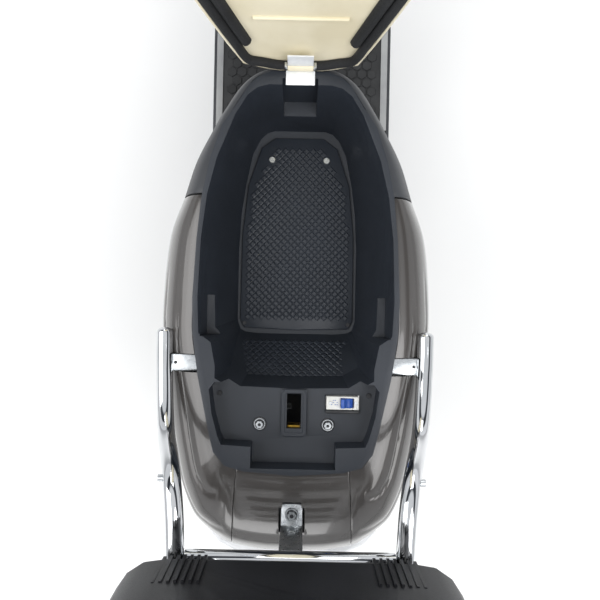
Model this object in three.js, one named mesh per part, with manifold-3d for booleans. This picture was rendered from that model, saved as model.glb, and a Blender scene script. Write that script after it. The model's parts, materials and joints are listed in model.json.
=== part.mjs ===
// Electric moped scooter: seat open, standing on its centre stand. Millimetres, +Z up,
// +Y to the front, +X to the right. Origin on the ground, in the middle of the outline.
import * as THREE from 'three';
import Module from 'manifold-3d';

const wasm = await Module();
wasm.setup();

// ---- driving dimensions ----
const REAR_AXLE_Y = -540;
const TYRE_R = 215;
const TYRE_HALF_WIDTH = 40;
const BEAD_R = 128;
const RIM_R = 138;
const STAND_LIFT = 4;
const RAKE_DEG = 26;
const HEAD_LOW_Z = 560;
const HEAD_LOW_Y = 566.92;
const HEAD_LENGTH = 178;
const FORK_OFFSET = 22.3;
const FORK_HALF_TRACK = 75;
const SLIDER_R = 19;
const FRONT_FENDER_GAP = 19;
const REAR_FENDER_GAP = 63;
const RIM_Z = 700;
const BIN_FLOOR_Z = 550;
const SHELF_Z = 665;
const BIN_WALL = 3;
const SKIN = 3;
const SKIN_TOP_Z = 694;
const WIDEST_Z = 636;
const FLOOR_Z = 298;
const FLOOR_HALF_WIDTH = 178;
const FLOOR_FRONT_Y = 335;
const FLOOR_REAR_Y = -150;
const MAT_THICK = 5;
const RAIL_TUBE_R = 11;
const RACK_Z = 800;
const FRAME_TUBE_R = 12;
const FRAME_HALF_TRACK = 116;
const PLATE_INNER_X = 104;
const PLATE_OUTER_X = 112;
const SWING_PIVOT = [-235, 265];
const SWING_ARM_X = [80, 98];
const SHOCK_X = 118;
const SHOCK_TOP = [-450, 540];
const SHOCK_FOOT = [REAR_AXLE_Y + 40, TYRE_R + STAND_LIFT + 18];
const STAND_PIVOT = [REAR_AXLE_Y + TYRE_R + 25, 205];
const STAND_TUBE_R = 12;
const HINGE_Y = -30;
const HINGE_Z = 708;
const SEAT_OPEN_DEG = 95;
const CASE_FRONT_Y = -640;
const CASE_REAR_Y = -968;
const CASE_BASE_Z = 813;
const CASE_SEAM_Z = 952;
const CASE_TOP_Z = 1092;
const CASE_WALL = 4;
const BAR_R = 11;
const GRIP_R = 17;
const GRIP_IN = [226, 329, 1021];
const GRIP_OUT = [345, 303, 1019];

// ---- clearances ----
const GAP = 0.4;
const PIN_GAP = 0.4;
const OPEN_PIVOT_GAP = 2.2;

const RAKE = THREE.MathUtils.degToRad(RAKE_DEG);
const REAR_AXLE_Z = TYRE_R + STAND_LIFT;
const FORK_DROP = (HEAD_LOW_Z + FORK_OFFSET * Math.sin(RAKE) - TYRE_R) / Math.cos(RAKE);
const FRONT_AXLE_Y = HEAD_LOW_Y + FORK_OFFSET * Math.cos(RAKE) + FORK_DROP * Math.sin(RAKE);
const DISC_X = FORK_HALF_TRACK - 33;
const FRONT_FENDER_R = TYRE_R + FRONT_FENDER_GAP;
const REAR_FENDER_R = TYRE_R + REAR_FENDER_GAP;

// ---- materials ----
const LOOKS = {
  grey_paint: ['#6f6b68', 0.35, 0.1],
  dark_trim: ['#46484b', 0.6, 0],
  bin_plastic: ['#3a3d43', 0.65, 0],
  black_plastic: ['#1d1e20', 0.6, 0],
  black_rubber: ['#151515', 0.9, 0],
  tyre_rubber: ['#1a1a1a', 0.95, 0],
  mat_rubber: ['#1b1b1c', 0.9, 0],
  frame_paint: ['#202225', 0.45, 0.4],
  chrome: ['#d8d8d8', 0.12, 1],
  zinc: ['#a9adb0', 0.4, 0.9],
  alloy: ['#8d9094', 0.35, 0.8],
  steel: ['#9b9da0', 0.3, 0.9],
  seat_vinyl: ['#4a3d36', 0.7, 0],
  pan_plastic: ['#e6dfc6', 0.6, 0],
  lamp_white: ['#e8e8e6', 0.15, 0],
  breaker_white: ['#e4e4e0', 0.5, 0],
  toggle_blue: ['#2a56a8', 0.4, 0],
  glass: ['#9fb0b8', 0.05, 0.6],
  battery_case: ['#2b2d30', 0.5, 0.2],
};

const group = new THREE.Group();
group.name = 'moped_scooter';

function lookMaterial(slot) {
  const [color, roughness, metalness] = LOOKS[slot];
  const material = new THREE.MeshStandardMaterial({ color, roughness, metalness });
  material.name = slot;
  return material;
}

// ---- solids ----
function toSolid(geometry) {
  const plain = geometry.index ? geometry.toNonIndexed() : geometry;
  const pos = plain.attributes.position;
  const seen = new Map();
  const verts = [];
  const tris = [];
  for (let i = 0; i < pos.count; i++) {
    const p = [pos.getX(i), pos.getY(i), pos.getZ(i)];
    const key = p.map((v) => Math.round(v * 2000)).join();
    if (!seen.has(key)) {
      seen.set(key, verts.length / 3);
      verts.push(...p);
    }
    tris.push(seen.get(key));
  }
  const kept = [];
  for (let i = 0; i < tris.length; i += 3) {
    const [a, b, c] = tris.slice(i, i + 3);
    if (a !== b && b !== c && a !== c) kept.push(a, b, c);
  }
  const mesh = new wasm.Mesh({
    numProp: 3,
    vertProperties: new Float32Array(verts),
    triVerts: new Uint32Array(kept),
  });
  return new wasm.Manifold(mesh);
}

function toGeometry(solid) {
  const mesh = solid.getMesh();
  const geometry = new THREE.BufferGeometry();
  geometry.setAttribute('position', new THREE.BufferAttribute(new Float32Array(mesh.vertProperties), 3));
  geometry.setIndex(new THREE.BufferAttribute(new Uint32Array(mesh.triVerts), 1));
  geometry.computeVertexNormals();
  return geometry;
}

function join(first, ...others) {
  return others.reduce((sum, next) => sum.add(next), first);
}

function cut(body, ...tools) {
  return tools.reduce((left, tool) => left.subtract(tool), body);
}

function part(name, slot, solid) {
  const mesh = new THREE.Mesh(toGeometry(solid), lookMaterial(slot));
  mesh.name = name;
  group.add(mesh);
}

function pair(name, slot, build) {
  part(`${name}_right`, slot, build(1));
  part(`${name}_left`, slot, build(-1));
}

function box(x0, x1, y0, y1, z0, z1) {
  const geometry = new THREE.BoxGeometry(Math.abs(x1 - x0), Math.abs(y1 - y0), Math.abs(z1 - z0));
  geometry.translate((x0 + x1) / 2, (y0 + y1) / 2, (z0 + z1) / 2);
  return toSolid(geometry);
}

function rod(from, to, radius, sides = 16, endRadius = radius) {
  const a = new THREE.Vector3(...from);
  const b = new THREE.Vector3(...to);
  const geometry = new THREE.CylinderGeometry(endRadius, radius, a.distanceTo(b), sides);
  const along = b.clone().sub(a).normalize();
  geometry.applyQuaternion(new THREE.Quaternion().setFromUnitVectors(new THREE.Vector3(0, 1, 0), along));
  geometry.translate(...a.add(b).multiplyScalar(0.5).toArray());
  return toSolid(geometry);
}

function stretch(from, to, extra) {
  const a = new THREE.Vector3(...from);
  const b = new THREE.Vector3(...to);
  const step = b.clone().sub(a).normalize().multiplyScalar(extra);
  return [a.sub(step).toArray(), b.add(step).toArray()];
}

function pipe(from, to, outer, inner, sides = 16) {
  const [a, b] = stretch(from, to, 1);
  return cut(rod(from, to, outer, sides), rod(a, b, inner, sides));
}

// A closed tube along a smooth line through the points.
function tube(points, radius, sides = 10, steps = 20, tension = 0.5) {
  const stops = points.map((p) => new THREE.Vector3(...p));
  const curve = new THREE.CatmullRomCurve3(stops, false, 'catmullrom', tension);
  const shape = new THREE.Shape();
  for (let i = 0; i < sides; i++) {
    const a = (2 * Math.PI * i) / sides;
    const at = [radius * Math.cos(a), radius * Math.sin(a)];
    if (i === 0) shape.moveTo(...at);
    else shape.lineTo(...at);
  }
  const geometry = new THREE.ExtrudeGeometry(shape, { steps, extrudePath: curve, bevelEnabled: false });
  const solid = toSolid(geometry);
  return solid;
}

function ball(at, sx, sy = sx, sz = sx, across = 16, high = 10) {
  const geometry = new THREE.SphereGeometry(1, across, high);
  geometry.rotateX(Math.PI / 2);
  geometry.scale(sx, sy, sz);
  geometry.translate(...at);
  return toSolid(geometry);
}

// A lathe about the X axis: profile rows are [radius, x].
function wheelLathe(profile, y, z, segments) {
  const points = profile.map(([r, x]) => new THREE.Vector2(r, x));
  points.push(points[0].clone());
  const geometry = new THREE.LatheGeometry(points, segments);
  geometry.rotateZ(-Math.PI / 2);
  geometry.translate(0, y, z);
  const solid = toSolid(geometry);
  return solid.volume() < 0 ? toSolid(flipped(geometry)) : solid;
}

function flipped(geometry) {
  const index = Array.from(geometry.index.array);
  for (let i = 0; i < index.length; i += 3) {
    [index[i], index[i + 1]] = [index[i + 1], index[i]];
  }
  geometry.setIndex(index);
  return geometry;
}

function polygon(points) {
  const shape = new THREE.Shape();
  points.forEach(([a, b], i) => (i === 0 ? shape.moveTo(a, b) : shape.lineTo(a, b)));
  shape.closePath();
  return shape;
}

// Outline in X and Y, raised from z0 to z1.
function raise(points, z0, z1) {
  const geometry = new THREE.ExtrudeGeometry(polygon(points), { depth: z1 - z0, bevelEnabled: false });
  geometry.translate(0, 0, z0);
  return toSolid(geometry);
}

// Outline in Y and Z, run across from x0 to x1.
function across(points, x0, x1) {
  const geometry = new THREE.ExtrudeGeometry(polygon(points), { depth: x1 - x0, bevelEnabled: false });
  geometry.rotateX(Math.PI / 2);
  geometry.rotateZ(Math.PI / 2);
  geometry.translate(x0, 0, 0);
  return toSolid(geometry);
}

function mirrored(points) {
  const left = points.filter(([x]) => x > 0.01).map(([x, y]) => [-x, y]).reverse();
  return [...points, ...left];
}

// Rings of points, all with the same count, joined into one closed solid.
function loft(rings) {
  const verts = [];
  const tris = [];
  const n = rings[0].length;
  const clockwise = THREE.ShapeUtils.isClockWise(rings[0].map(([x, y]) => new THREE.Vector2(x, y)));
  const turnedRings = clockwise ? rings.map((ring) => [...ring].reverse()) : rings;
  turnedRings.forEach((ring) => ring.forEach((p) => verts.push(...p)));
  for (let r = 0; r + 1 < rings.length; r++) {
    for (let i = 0; i < n; i++) {
      const j = (i + 1) % n;
      const [a, b, c, d] = [r * n + i, r * n + j, (r + 1) * n + j, (r + 1) * n + i];
      tris.push(a, b, c, a, c, d);
    }
  }
  const cap = (ring, start, flip) => {
    const flat = ring.map(([x, y]) => new THREE.Vector2(x, y));
    THREE.ShapeUtils.triangulateShape(flat, []).forEach(([a, b, c]) => {
      tris.push(...(flip ? [start + a, start + c, start + b] : [start + a, start + b, start + c]));
    });
  };
  cap(turnedRings[0], 0, true);
  cap(turnedRings[rings.length - 1], (rings.length - 1) * n, false);
  return fromLists(verts, tris);
}

function fromLists(verts, tris) {
  const geometry = new THREE.BufferGeometry();
  geometry.setAttribute('position', new THREE.Float32BufferAttribute(verts, 3));
  geometry.setIndex(tris);
  const solid = toSolid(geometry);
  return solid.volume() < 0 ? toSolid(flipped(geometry)) : solid;
}

// A skin of even thickness under a surface: at(u, v) gives the outside point.
function skin(at, uCount, vCount, thickness, inward) {
  const outer = [];
  const inner = [];
  for (let i = 0; i <= uCount; i++) {
    for (let j = 0; j <= vCount; j++) {
      const u = i / uCount;
      const v = j / vCount;
      const p = at(u, v);
      const ahead = new THREE.Vector3(...at(Math.min(u + 0.01, 1), v));
      const behind = new THREE.Vector3(...at(Math.max(u - 0.01, 0), v));
      const above = new THREE.Vector3(...at(u, Math.min(v + 0.01, 1)));
      const below = new THREE.Vector3(...at(u, Math.max(v - 0.01, 0)));
      const du = ahead.sub(behind);
      const dv = above.sub(below);
      const n = du.cross(dv).normalize().multiplyScalar(thickness * inward);
      outer.push(...p);
      inner.push(p[0] + n.x, p[1] + n.y, p[2] + n.z);
    }
  }
  const row = vCount + 1;
  const half = outer.length / 3;
  const tris = [];
  const quad = (a, b, c, d) => tris.push(a, b, c, a, c, d);
  for (let i = 0; i < uCount; i++) {
    for (let j = 0; j < vCount; j++) {
      const a = i * row + j;
      quad(a, a + row, a + row + 1, a + 1);
      quad(half + a, half + a + 1, half + a + row + 1, half + a + row);
    }
    const low = i * row;
    const high = low + vCount;
    quad(low, half + low, half + low + row, low + row);
    quad(high, high + row, half + high + row, half + high);
  }
  for (let j = 0; j < vCount; j++) {
    const last = uCount * row + j;
    quad(j, j + 1, half + j + 1, half + j);
    quad(last, half + last, half + last + 1, last + 1);
  }
  return fromLists([...outer, ...inner], tris);
}

function mix(a, b, t) {
  return a + (b - a) * t;
}

// Smooth value between rows of [key, value...].
function table(rows, key) {
  if (key <= rows[0][0]) return rows[0].slice(1);
  const last = rows.length - 1;
  if (key >= rows[last][0]) return rows[last].slice(1);
  const i = rows.findIndex((row) => row[0] > key) - 1;
  const t = (key - rows[i][0]) / (rows[i + 1][0] - rows[i][0]);
  return rows[i].slice(1).map((v, k) => mix(v, rows[i + 1][k + 1], t));
}

function turned(solid, origin, axis, degrees) {
  const angle = THREE.MathUtils.degToRad(degrees);
  const spin = new THREE.Matrix4().makeRotationAxis(new THREE.Vector3(...axis), angle);
  const place = new THREE.Matrix4().makeTranslation(...origin)
    .multiply(spin)
    .multiply(new THREE.Matrix4().makeTranslation(...origin.map((v) => -v)));
  return solid.transform(place.toArray());
}

// Steering parts are drawn upright about the steering axis, then leaned back.
function raked(solid) {
  const place = new THREE.Matrix4().makeTranslation(0, HEAD_LOW_Y, HEAD_LOW_Z)
    .multiply(new THREE.Matrix4().makeRotationX(RAKE));
  return solid.transform(place.toArray());
}

// ---- frame ----
function frame() {
  const half = (side) => {
    const rail = tube([
      [side * FRAME_HALF_TRACK, 325, 250], [side * FRAME_HALF_TRACK, 100, 250],
      [side * FRAME_HALF_TRACK, -140, 250],
      [side * 108, -215, 322], [side * 118, -320, 470], [side * 132, -420, 588], [side * 124, -540, 632],
      [side * 104, -618, 640],
    ], FRAME_TUBE_R, 6, 12);
    const [py, pz] = SWING_PIVOT;
    const [sy, sz] = STAND_PIVOT;
    const plate = across(
      [
        [py + 60, 262], [py + 35, 318], [py - 30, 300], [sy - 28, sz + 5], [sy - 22, sz - 20],
        [sy + 22, sz - 20], [py + 40, 235],
      ],
      PLATE_INNER_X, PLATE_OUTER_X,
    );
    const holeR = STAND_TUBE_R + 2 * PIN_GAP;
    const hole = rod([PLATE_INNER_X - 2, sy, sz], [PLATE_OUTER_X + 2, sy, sz], holeR, 20);
    const drilled = cut(plate, hole);
    const placed = side > 0 ? drilled : drilled.mirror([1, 0, 0]);
    const [hangY] = SHOCK_TOP;
    const hanger = box(side * 131, side * 137, hangY - 14, hangY + 14, 526, 604);
    const pin = rod([side * 106, ...SHOCK_TOP], [side * 134, ...SHOCK_TOP], 6, 12);
    return join(rail, placed, hanger, pin);
  };
  const pivot = rod([-110, ...SWING_PIVOT], [110, ...SWING_PIVOT], 8, 16);
  const crossBar = rod([-FRAME_HALF_TRACK, 318, 250], [FRAME_HALF_TRACK, 318, 250], FRAME_TUBE_R, 8);
  const tailBar = rod([-106, -612, 640], [106, -612, 640], FRAME_TUBE_R, 8);
  const spine = tube([[0, 318, 250], [0, 400, 270], [0, 432, 380], [0, 445, 500], [0, 512, 612]], 22, 8, 7);
  const bore = raked(rod([0, 0, -2], [0, 0, HEAD_LENGTH + 2], 19, 20));
  const neck = cut(raked(rod([0, 0, 0], [0, 0, HEAD_LENGTH], 30, 20)), bore);
  const sidePivot = rod([-FRAME_HALF_TRACK, -110, 240], [-150, -110, 240], 7, 12);
  return join(half(1), half(-1), pivot, crossBar, tailBar, cut(spine, bore), neck, sidePivot);
}
part('frame', 'frame_paint', frame());
part('battery_pack', 'battery_case', box(-72, 72, -205, -112, 304, 535));
part('motor_controller', 'alloy', box(-70, 70, -262, -215, 330, 450));

// ---- floor ----
part('floor_deck', 'dark_trim', cut(
  box(-FLOOR_HALF_WIDTH, FLOOR_HALF_WIDTH, FLOOR_REAR_Y, FLOOR_FRONT_Y, 215, FLOOR_Z),
  box(-170, 170, FLOOR_REAR_Y - 1, FLOOR_FRONT_Y + 1, 214, FLOOR_Z - 5),
));
part('floor_mat', 'mat_rubber', box(
  -172, 172, 0, FLOOR_FRONT_Y - 6, FLOOR_Z + GAP, FLOOR_Z + MAT_THICK,
));

// ---- storage bin ----
const RIM_OUT = mirrored([
  [0, -34], [39, -34], [57, -42], [69, -53], [86, -81], [104, -107], [119, -152], [129, -201], [135, -260],
  [139, -340], [138, -387], [130, -443], [122.5, -479], [113, -523], [107, -546], [92, -564], [67, -571],
  [0, -576],
]);
const TUB_TOP = [
  [0, -52], [42, -52], [57, -56], [70, -66], [86, -92], [110, -152], [122, -201], [129, -260], [132, -340],
  [130, -387], [113, -399], [107, -430], [107, -446], [80, -462], [0, -464],
];
const TUB_LOW = [
  [0, -72], [40, -72], [52, -76], [62, -86], [74, -110], [84, -160], [90, -205], [93, -260], [93, -340],
  [93, -372], [91, -380], [88, -388], [80, -392], [60, -394], [0, -394],
];
// Height, share of the way from floor outline to rim outline, the same for the rear wall.
const TUB_LEVELS = [[550, 0, 0], [570, 0.14, 0.16], [620, 0.5, 0.83], [665, 0.8, 1], [703, 1.02, 1.02]];
const REAR_WALL_FROM = 9;
const SHELF_OUT = mirrored([
  [0, -452], [107, -452], [114.5, -462], [110, -495], [102, -524], [97, -536], [57, -538], [57, -567],
  [0, -567],
]);
const SLOT = { x: 10, y0: -519, y1: -469, borderX: 18, borderY0: -530, borderY1: -465 };
const BREAKER = { x0: 45, x1: 90, y0: -491, y1: -473 };

function grown(points, by) {
  return points.map(([x, y], i) => {
    const n = points.length;
    const [ax, ay] = points[(i + n - 1) % n];
    const [bx, by2] = points[(i + 1) % n];
    const along = Math.hypot(bx - ax, by2 - ay) || 1;
    return [x + (by * (ay - by2)) / along, y + (by * (bx - ax)) / along];
  });
}

function tubRing([z, side, rear], grow, drop) {
  const rows = TUB_TOP.map(([x, y], i) => {
    const [lowX, lowY] = TUB_LOW[i];
    return [mix(lowX, x, side), mix(lowY, y, i > REAR_WALL_FROM ? rear : side)];
  });
  return grown(mirrored(rows), grow).map(([x, y]) => [x, y, z + drop]);
}

function storageBin() {
  const cavity = loft(TUB_LEVELS.map((level) => tubRing(level, 0, 0)));
  const shell = loft(TUB_LEVELS.slice(0, 4).map((level) => tubRing(level, BIN_WALL, -BIN_WALL))
    .concat([tubRing([RIM_Z - 2, 0.99, 1], BIN_WALL, 0)]));
  const flange = raise(RIM_OUT, RIM_Z - 3, RIM_Z);
  const shelfShell = raise(grown(SHELF_OUT, BIN_WALL), SHELF_Z - BIN_WALL, RIM_Z - 1);
  const shelfRoom = raise(SHELF_OUT, SHELF_Z, RIM_Z + 4);
  const step = (x0, x1, y0, y1, z0, z1) => join(box(x0, x1, y0, y1, z0, z1), box(-x1, -x0, y0, y1, z0, z1));
  const stepShell = step(92, 131, -394, -332, 636, RIM_Z - 1);
  const stepRoom = step(90, 128, -391, -335, 639, RIM_Z + 4);
  const frontShell = box(-27, 27, -80, -40, 600, RIM_Z - 1);
  const frontRoom = box(-24, 24, -84, -43, 604, RIM_Z + 4);
  const { x, y0, y1, borderX, borderY0, borderY1 } = SLOT;
  const border = box(-borderX, borderX, borderY0, borderY1, SHELF_Z - 1, SHELF_Z + 4);
  const slot = box(-x, x, y0, y1, SHELF_Z - 20, SHELF_Z + 10);
  const mouth = box(
    BREAKER.x0 - 1, BREAKER.x1 + 1, BREAKER.y0 - 1, BREAKER.y1 + 1, SHELF_Z - 20, SHELF_Z + 10,
  );
  const full = join(shell, flange, shelfShell, stepShell, frontShell);
  const open = cut(full, cavity, shelfRoom, stepRoom, frontRoom);
  return cut(join(open, border), slot, mouth);
}
part('storage_bin', 'bin_plastic', storageBin());
part('battery_cover', 'bin_plastic', raise(mirrored([
  [0, -84], [38, -84], [60, -100], [80, -160], [88, -240], [89, -372], [82, -385], [0, -388],
]), BIN_FLOOR_Z + GAP, BIN_FLOOR_Z + 4));
const TOGGLE_AT = [74, -482, 664];
part('circuit_breaker', 'breaker_white', cut(
  box(BREAKER.x0, BREAKER.x1, BREAKER.y0, BREAKER.y1, 625, 672),
  rod([TOGGLE_AT[0], -489, 664], [TOGGLE_AT[0], -475, 664], 9.5, 20),
  box(TOGGLE_AT[0] - 9.4, TOGGLE_AT[0] + 9.4, -489, -475, 664, 675),
));
part('breaker_toggle', 'toggle_blue', turned(join(
  rod([TOGGLE_AT[0], -488.5, 664], [TOGGLE_AT[0], -475.5, 664], 8.6, 16),
  box(TOGGLE_AT[0] - 2.5, TOGGLE_AT[0] + 2.5, -488, -476, 666, 681),
), TOGGLE_AT, [0, 1, 0], -25));
const HOOK_AT = [-26, -494, 654];
const HOOK_OPEN_DEG = 40;
part('seat_lock_hook', 'steel', turned(join(
  rod([-26, -498, 654], [-26, -490, 654], 6, 12),
  box(-28, 4, -498, -490, 648, 652),
), HOOK_AT, [0, 1, 0], HOOK_OPEN_DEG));

// ---- body skins: plan position at the widest level, then under the rim, front to rear ----
const PLAN = [
  [0, 0, -14, 0, -36], [1, 50, -20, 36, -36], [2, 85, -46, 60, -44], [3, 107, -78, 84, -78],
  [4, 122, -104, 99, -106], [5, 145, -148, 115, -150], [6, 162, -200, 126, -200], [7, 180, -251, 132, -250],
  [8, 188, -330, 136.6, -330], [9, 188, -400, 136.4, -400], [10, 178, -500, 115, -500],
  [11, 162, -585, 103, -547], [12, 152, -620, 92, -560], [13, 138, -650, 82, -566],
  [14, 120, -668, 70, -569], [15, 104, -680, 60, -571], [16, 85, -690, 50, -572],
  [17, 45, -697, 26, -573], [18, 0, -699, 0, -573],
];
const SKIRT = [[0, 302], [5, 302], [6, 318], [8, 400], [10, 470], [12, 545], [16, 590], [18, 592]];
const FALL = [[0, 0, 694], [0.15, 0.32, 689], [0.28, 0.62, 676], [0.4, 0.87, 656], [0.5, 1, WIDEST_Z]];

// Outside point of the body at station s and depth t (0 at the rim, 1 at the lower edge).
function bodyPoint(s, t) {
  const [px, py, tx, ty] = table(PLAN, s);
  const [zLow] = table(SKIRT, s);
  if (t <= 0.5) {
    const [f, z] = table(FALL, t);
    return [mix(tx, px, f), mix(ty, py, f), z];
  }
  const q = (t - 0.5) * 2;
  const inward = 40 * q * q;
  const reach = Math.hypot(px, (py + 330) * 0.6) || 1;
  const pull = s > 11 ? 0.6 : 1;
  const tuck = (inward * pull) / reach;
  return [px * (1 - tuck), py - (py + 330) * 0.6 * tuck, mix(WIDEST_Z, zLow, q)];
}

function bodySkin(s0, s1, count, side) {
  return skin((u, v) => {
    const [x, y, z] = bodyPoint(mix(s0, s1, u), v);
    return [side * x, y, z];
  }, count, 8, SKIN, side);
}

const strapNotch = (side) => box(side * 110, side * 172, -441, -415, 678, 691);
pair('side_panel', 'grey_paint', (side) => cut(bodySkin(6.03, 15.98, 9, side), strapNotch(side)));
part('front_cover', 'dark_trim', skin((u, v) => {
  const s = Math.abs(u - 0.5) * 2 * 5.97;
  const [x, y, z] = bodyPoint(s, v);
  return [(u < 0.5 ? 1 : -1) * x, y, z];
}, 12, 8, SKIN, -1));
part('tail_panel', 'grey_paint', cut(skin((u, v) => {
  const s = 18 - Math.abs(u - 0.5) * 2 * 1.98;
  const [x, y, z] = bodyPoint(s, v);
  return [(u < 0.5 ? 1 : -1) * x, y, z];
}, 6, 8, SKIN, 1), box(-27, 27, -672, -612, 672, 700)));
part('tail_lamp', 'lamp_white', raise(mirrored([
  [0, -733], [45, -732], [85, -727], [112, -713], [129, -694], [121, -680], [104, -672], [0, -672],
]), 556, 586));

// ---- grab rails, rack and top case ----
pair('grab_rail', 'chrome', (side) => join(
  tube([
    [side * 178, -388, 684], [side * 176, -440, 690], [side * 167, -511, 715], [side * 143, -560, 786],
    [side * 135, -632, RACK_Z], [side * 133, -780, RACK_Z], [side * 130, -940, RACK_Z],
  ], RAIL_TUBE_R, 8, 14),
  ball([side * 178, -388, 684], RAIL_TUBE_R * 0.99, RAIL_TUBE_R * 0.99, RAIL_TUBE_R * 0.99, 8, 4),
  box(side * 122, side * 176, -439, -417, 682, 686),
));
const rackSlot = (y) => box(-80, 80, y - 14, y + 14, 790, 812);
part('rack_plate', 'chrome', cut(join(
  rod([-123, -645, RACK_Z], [123, -645, RACK_Z], RAIL_TUBE_R, 14),
  box(-117, 117, -925, -650, 797, 803),
), rackSlot(-710), rackSlot(-770), rackSlot(-830), rackSlot(-890)));
part('tail_bracket', 'zinc', across([
  [-620, 676], [-620, 680], [-650, 680], [-650, 787], [-654, 787], [-654, 676],
], -15, 15));

function caseOutline(grow) {
  const points = [];
  const halfWidth = 200 + grow;
  const front = CASE_FRONT_Y + grow;
  const rear = CASE_REAR_Y - grow;
  const r = 60 + grow;
  const side = halfWidth - r;
  const corners = [
    [side, front - r, 0], [-side, front - r, 90], [-side, rear + r, 180], [side, rear + r, 270],
  ];
  corners.forEach(([cx, cy, start]) => {
    for (let i = 0; i <= 4; i++) {
      const a = THREE.MathUtils.degToRad(start + i * 22.5);
      points.push([cx + r * Math.cos(a), cy + r * Math.sin(a)]);
    }
  });
  return points;
}
const caseRing = (grow, z) => caseOutline(grow).map(([x, y]) => [x, y, z]);
const CASE_PIVOT = [CASE_FRONT_Y + 13, CASE_SEAM_Z];
const caseBar = (x0, x1, r) => rod([x0, ...CASE_PIVOT], [x1, ...CASE_PIVOT], r, 14);
const caseArm = (x0, x1, z0, z1) => box(x0, x1, CASE_FRONT_Y - 2, CASE_PIVOT[0], z0, z1);
part('top_case_base', 'black_plastic', join(
  cut(
    loft([caseRing(-12, CASE_BASE_Z), caseRing(-4, CASE_BASE_Z + 10), caseRing(0, CASE_SEAM_Z - 2)]),
    loft([
      caseRing(-14, CASE_BASE_Z + CASE_WALL), caseRing(-8, CASE_BASE_Z + 14), caseRing(-4, CASE_SEAM_Z + 4),
    ]),
  ),
  ...[60, -60].flatMap((x) => [
    caseBar(x - 26, x - 10, 6), caseBar(x + 10, x + 26, 6), caseBar(x - 20, x + 20, 3),
    caseArm(x - 26, x - 10, 930, 952), caseArm(x + 10, x + 26, 930, 952),
  ]),
));
part('top_case_lid', 'black_plastic', cut(join(
  cut(
    loft([
      caseRing(0, CASE_SEAM_Z + 1), caseRing(-4, CASE_TOP_Z - 42), caseRing(-16, CASE_TOP_Z - 14),
      caseRing(-40, CASE_TOP_Z),
    ]),
    loft([
      caseRing(-4, CASE_SEAM_Z - 3), caseRing(-8, CASE_TOP_Z - 44), caseRing(-20, CASE_TOP_Z - 18),
      caseRing(-42, CASE_TOP_Z - 5),
    ]),
  ),
  ...[60, -60].flatMap((x) => [caseBar(x - 9.5, x + 9.5, 6), caseArm(x - 9.5, x + 9.5, 954, 970)]),
), ...[60, -60].map((x) => caseBar(x - 12, x + 12, 3.6))));
part('top_case_latch', 'chrome', box(-22, 22, CASE_REAR_Y - 7, CASE_REAR_Y - GAP, 918, 944));

// ---- rear fender, swingarm, shocks ----
part('rear_fender', 'black_plastic', skin((u, v) => {
  const a = THREE.MathUtils.degToRad(mix(38, 168, u));
  const w = (v - 0.5) * 2;
  const r = REAR_FENDER_R - 22 * Math.max(0, Math.abs(w) - 0.72) / 0.28;
  return [w * 62, REAR_AXLE_Y + r * Math.cos(a), REAR_AXLE_Z + 10 + r * Math.sin(a)];
}, 12, 6, 3, -1));
part('plate_holder', 'black_plastic', box(
  -70, 70, REAR_AXLE_Y - REAR_FENDER_R - 6, REAR_AXLE_Y - REAR_FENDER_R - 1,
  REAR_AXLE_Z + 43, REAR_AXLE_Z + 153,
));

const SWING_BARS = (side) => {
  const [py, pz] = SWING_PIVOT;
  const [x0, x1] = SWING_ARM_X;
  return across([
    [py + 18, pz - 4], [py + 14, pz + 14], [py - 6, pz + 18], [REAR_AXLE_Y - 4, REAR_AXLE_Z + 18],
    [REAR_AXLE_Y - 24, REAR_AXLE_Z], [REAR_AXLE_Y - 4, REAR_AXLE_Z - 18], [py, pz - 18],
  ], side > 0 ? x0 : -x1, side > 0 ? x1 : -x0);
};
part('swingarm', 'frame_paint', cut(join(
  SWING_BARS(1), SWING_BARS(-1),
  rod([-98, ...SWING_PIVOT], [98, ...SWING_PIVOT], 18, 16),
  rod([-112, REAR_AXLE_Y, REAR_AXLE_Z], [112, REAR_AXLE_Y, REAR_AXLE_Z], 8, 16),
  ...[1, -1].map((side) => rod([side * 97, ...SHOCK_FOOT], [side * 130, ...SHOCK_FOOT], 6, 12)),
), rod([-120, ...SWING_PIVOT], [120, ...SWING_PIVOT], 8 + PIN_GAP, 16)));

const shockLine = (side, share) => [
  side * SHOCK_X, mix(SHOCK_FOOT[0], SHOCK_TOP[0], share), mix(SHOCK_FOOT[1], SHOCK_TOP[1], share),
];
pair('shock_upper', 'chrome', (side) => cut(join(
  rod([side * (SHOCK_X - 9), ...SHOCK_TOP], [side * (SHOCK_X + 9), ...SHOCK_TOP], 13, 12),
  rod(shockLine(side, 0.97), shockLine(side, 0.4), 5.5, 12),
  rod(shockLine(side, 0.93), shockLine(side, 0.9), 20, 14),
), rod([side * (SHOCK_X - 12), ...SHOCK_TOP], [side * (SHOCK_X + 12), ...SHOCK_TOP], 6 + PIN_GAP, 12)));
pair('shock_lower', 'black_plastic', (side) => cut(join(
  rod([side * (SHOCK_X - 9), ...SHOCK_FOOT], [side * (SHOCK_X + 9), ...SHOCK_FOOT], 14, 12),
  rod(shockLine(side, 0.02), shockLine(side, 0.56), 15, 12),
  rod(shockLine(side, 0.11), shockLine(side, 0.14), 20, 14),
), rod(
  [side * (SHOCK_X - 12), ...SHOCK_FOOT], [side * (SHOCK_X + 12), ...SHOCK_FOOT],
  6 + OPEN_PIVOT_GAP, 12,
),
rod(shockLine(side, 0.2), shockLine(side, 0.6), 6.2, 12)));

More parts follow.
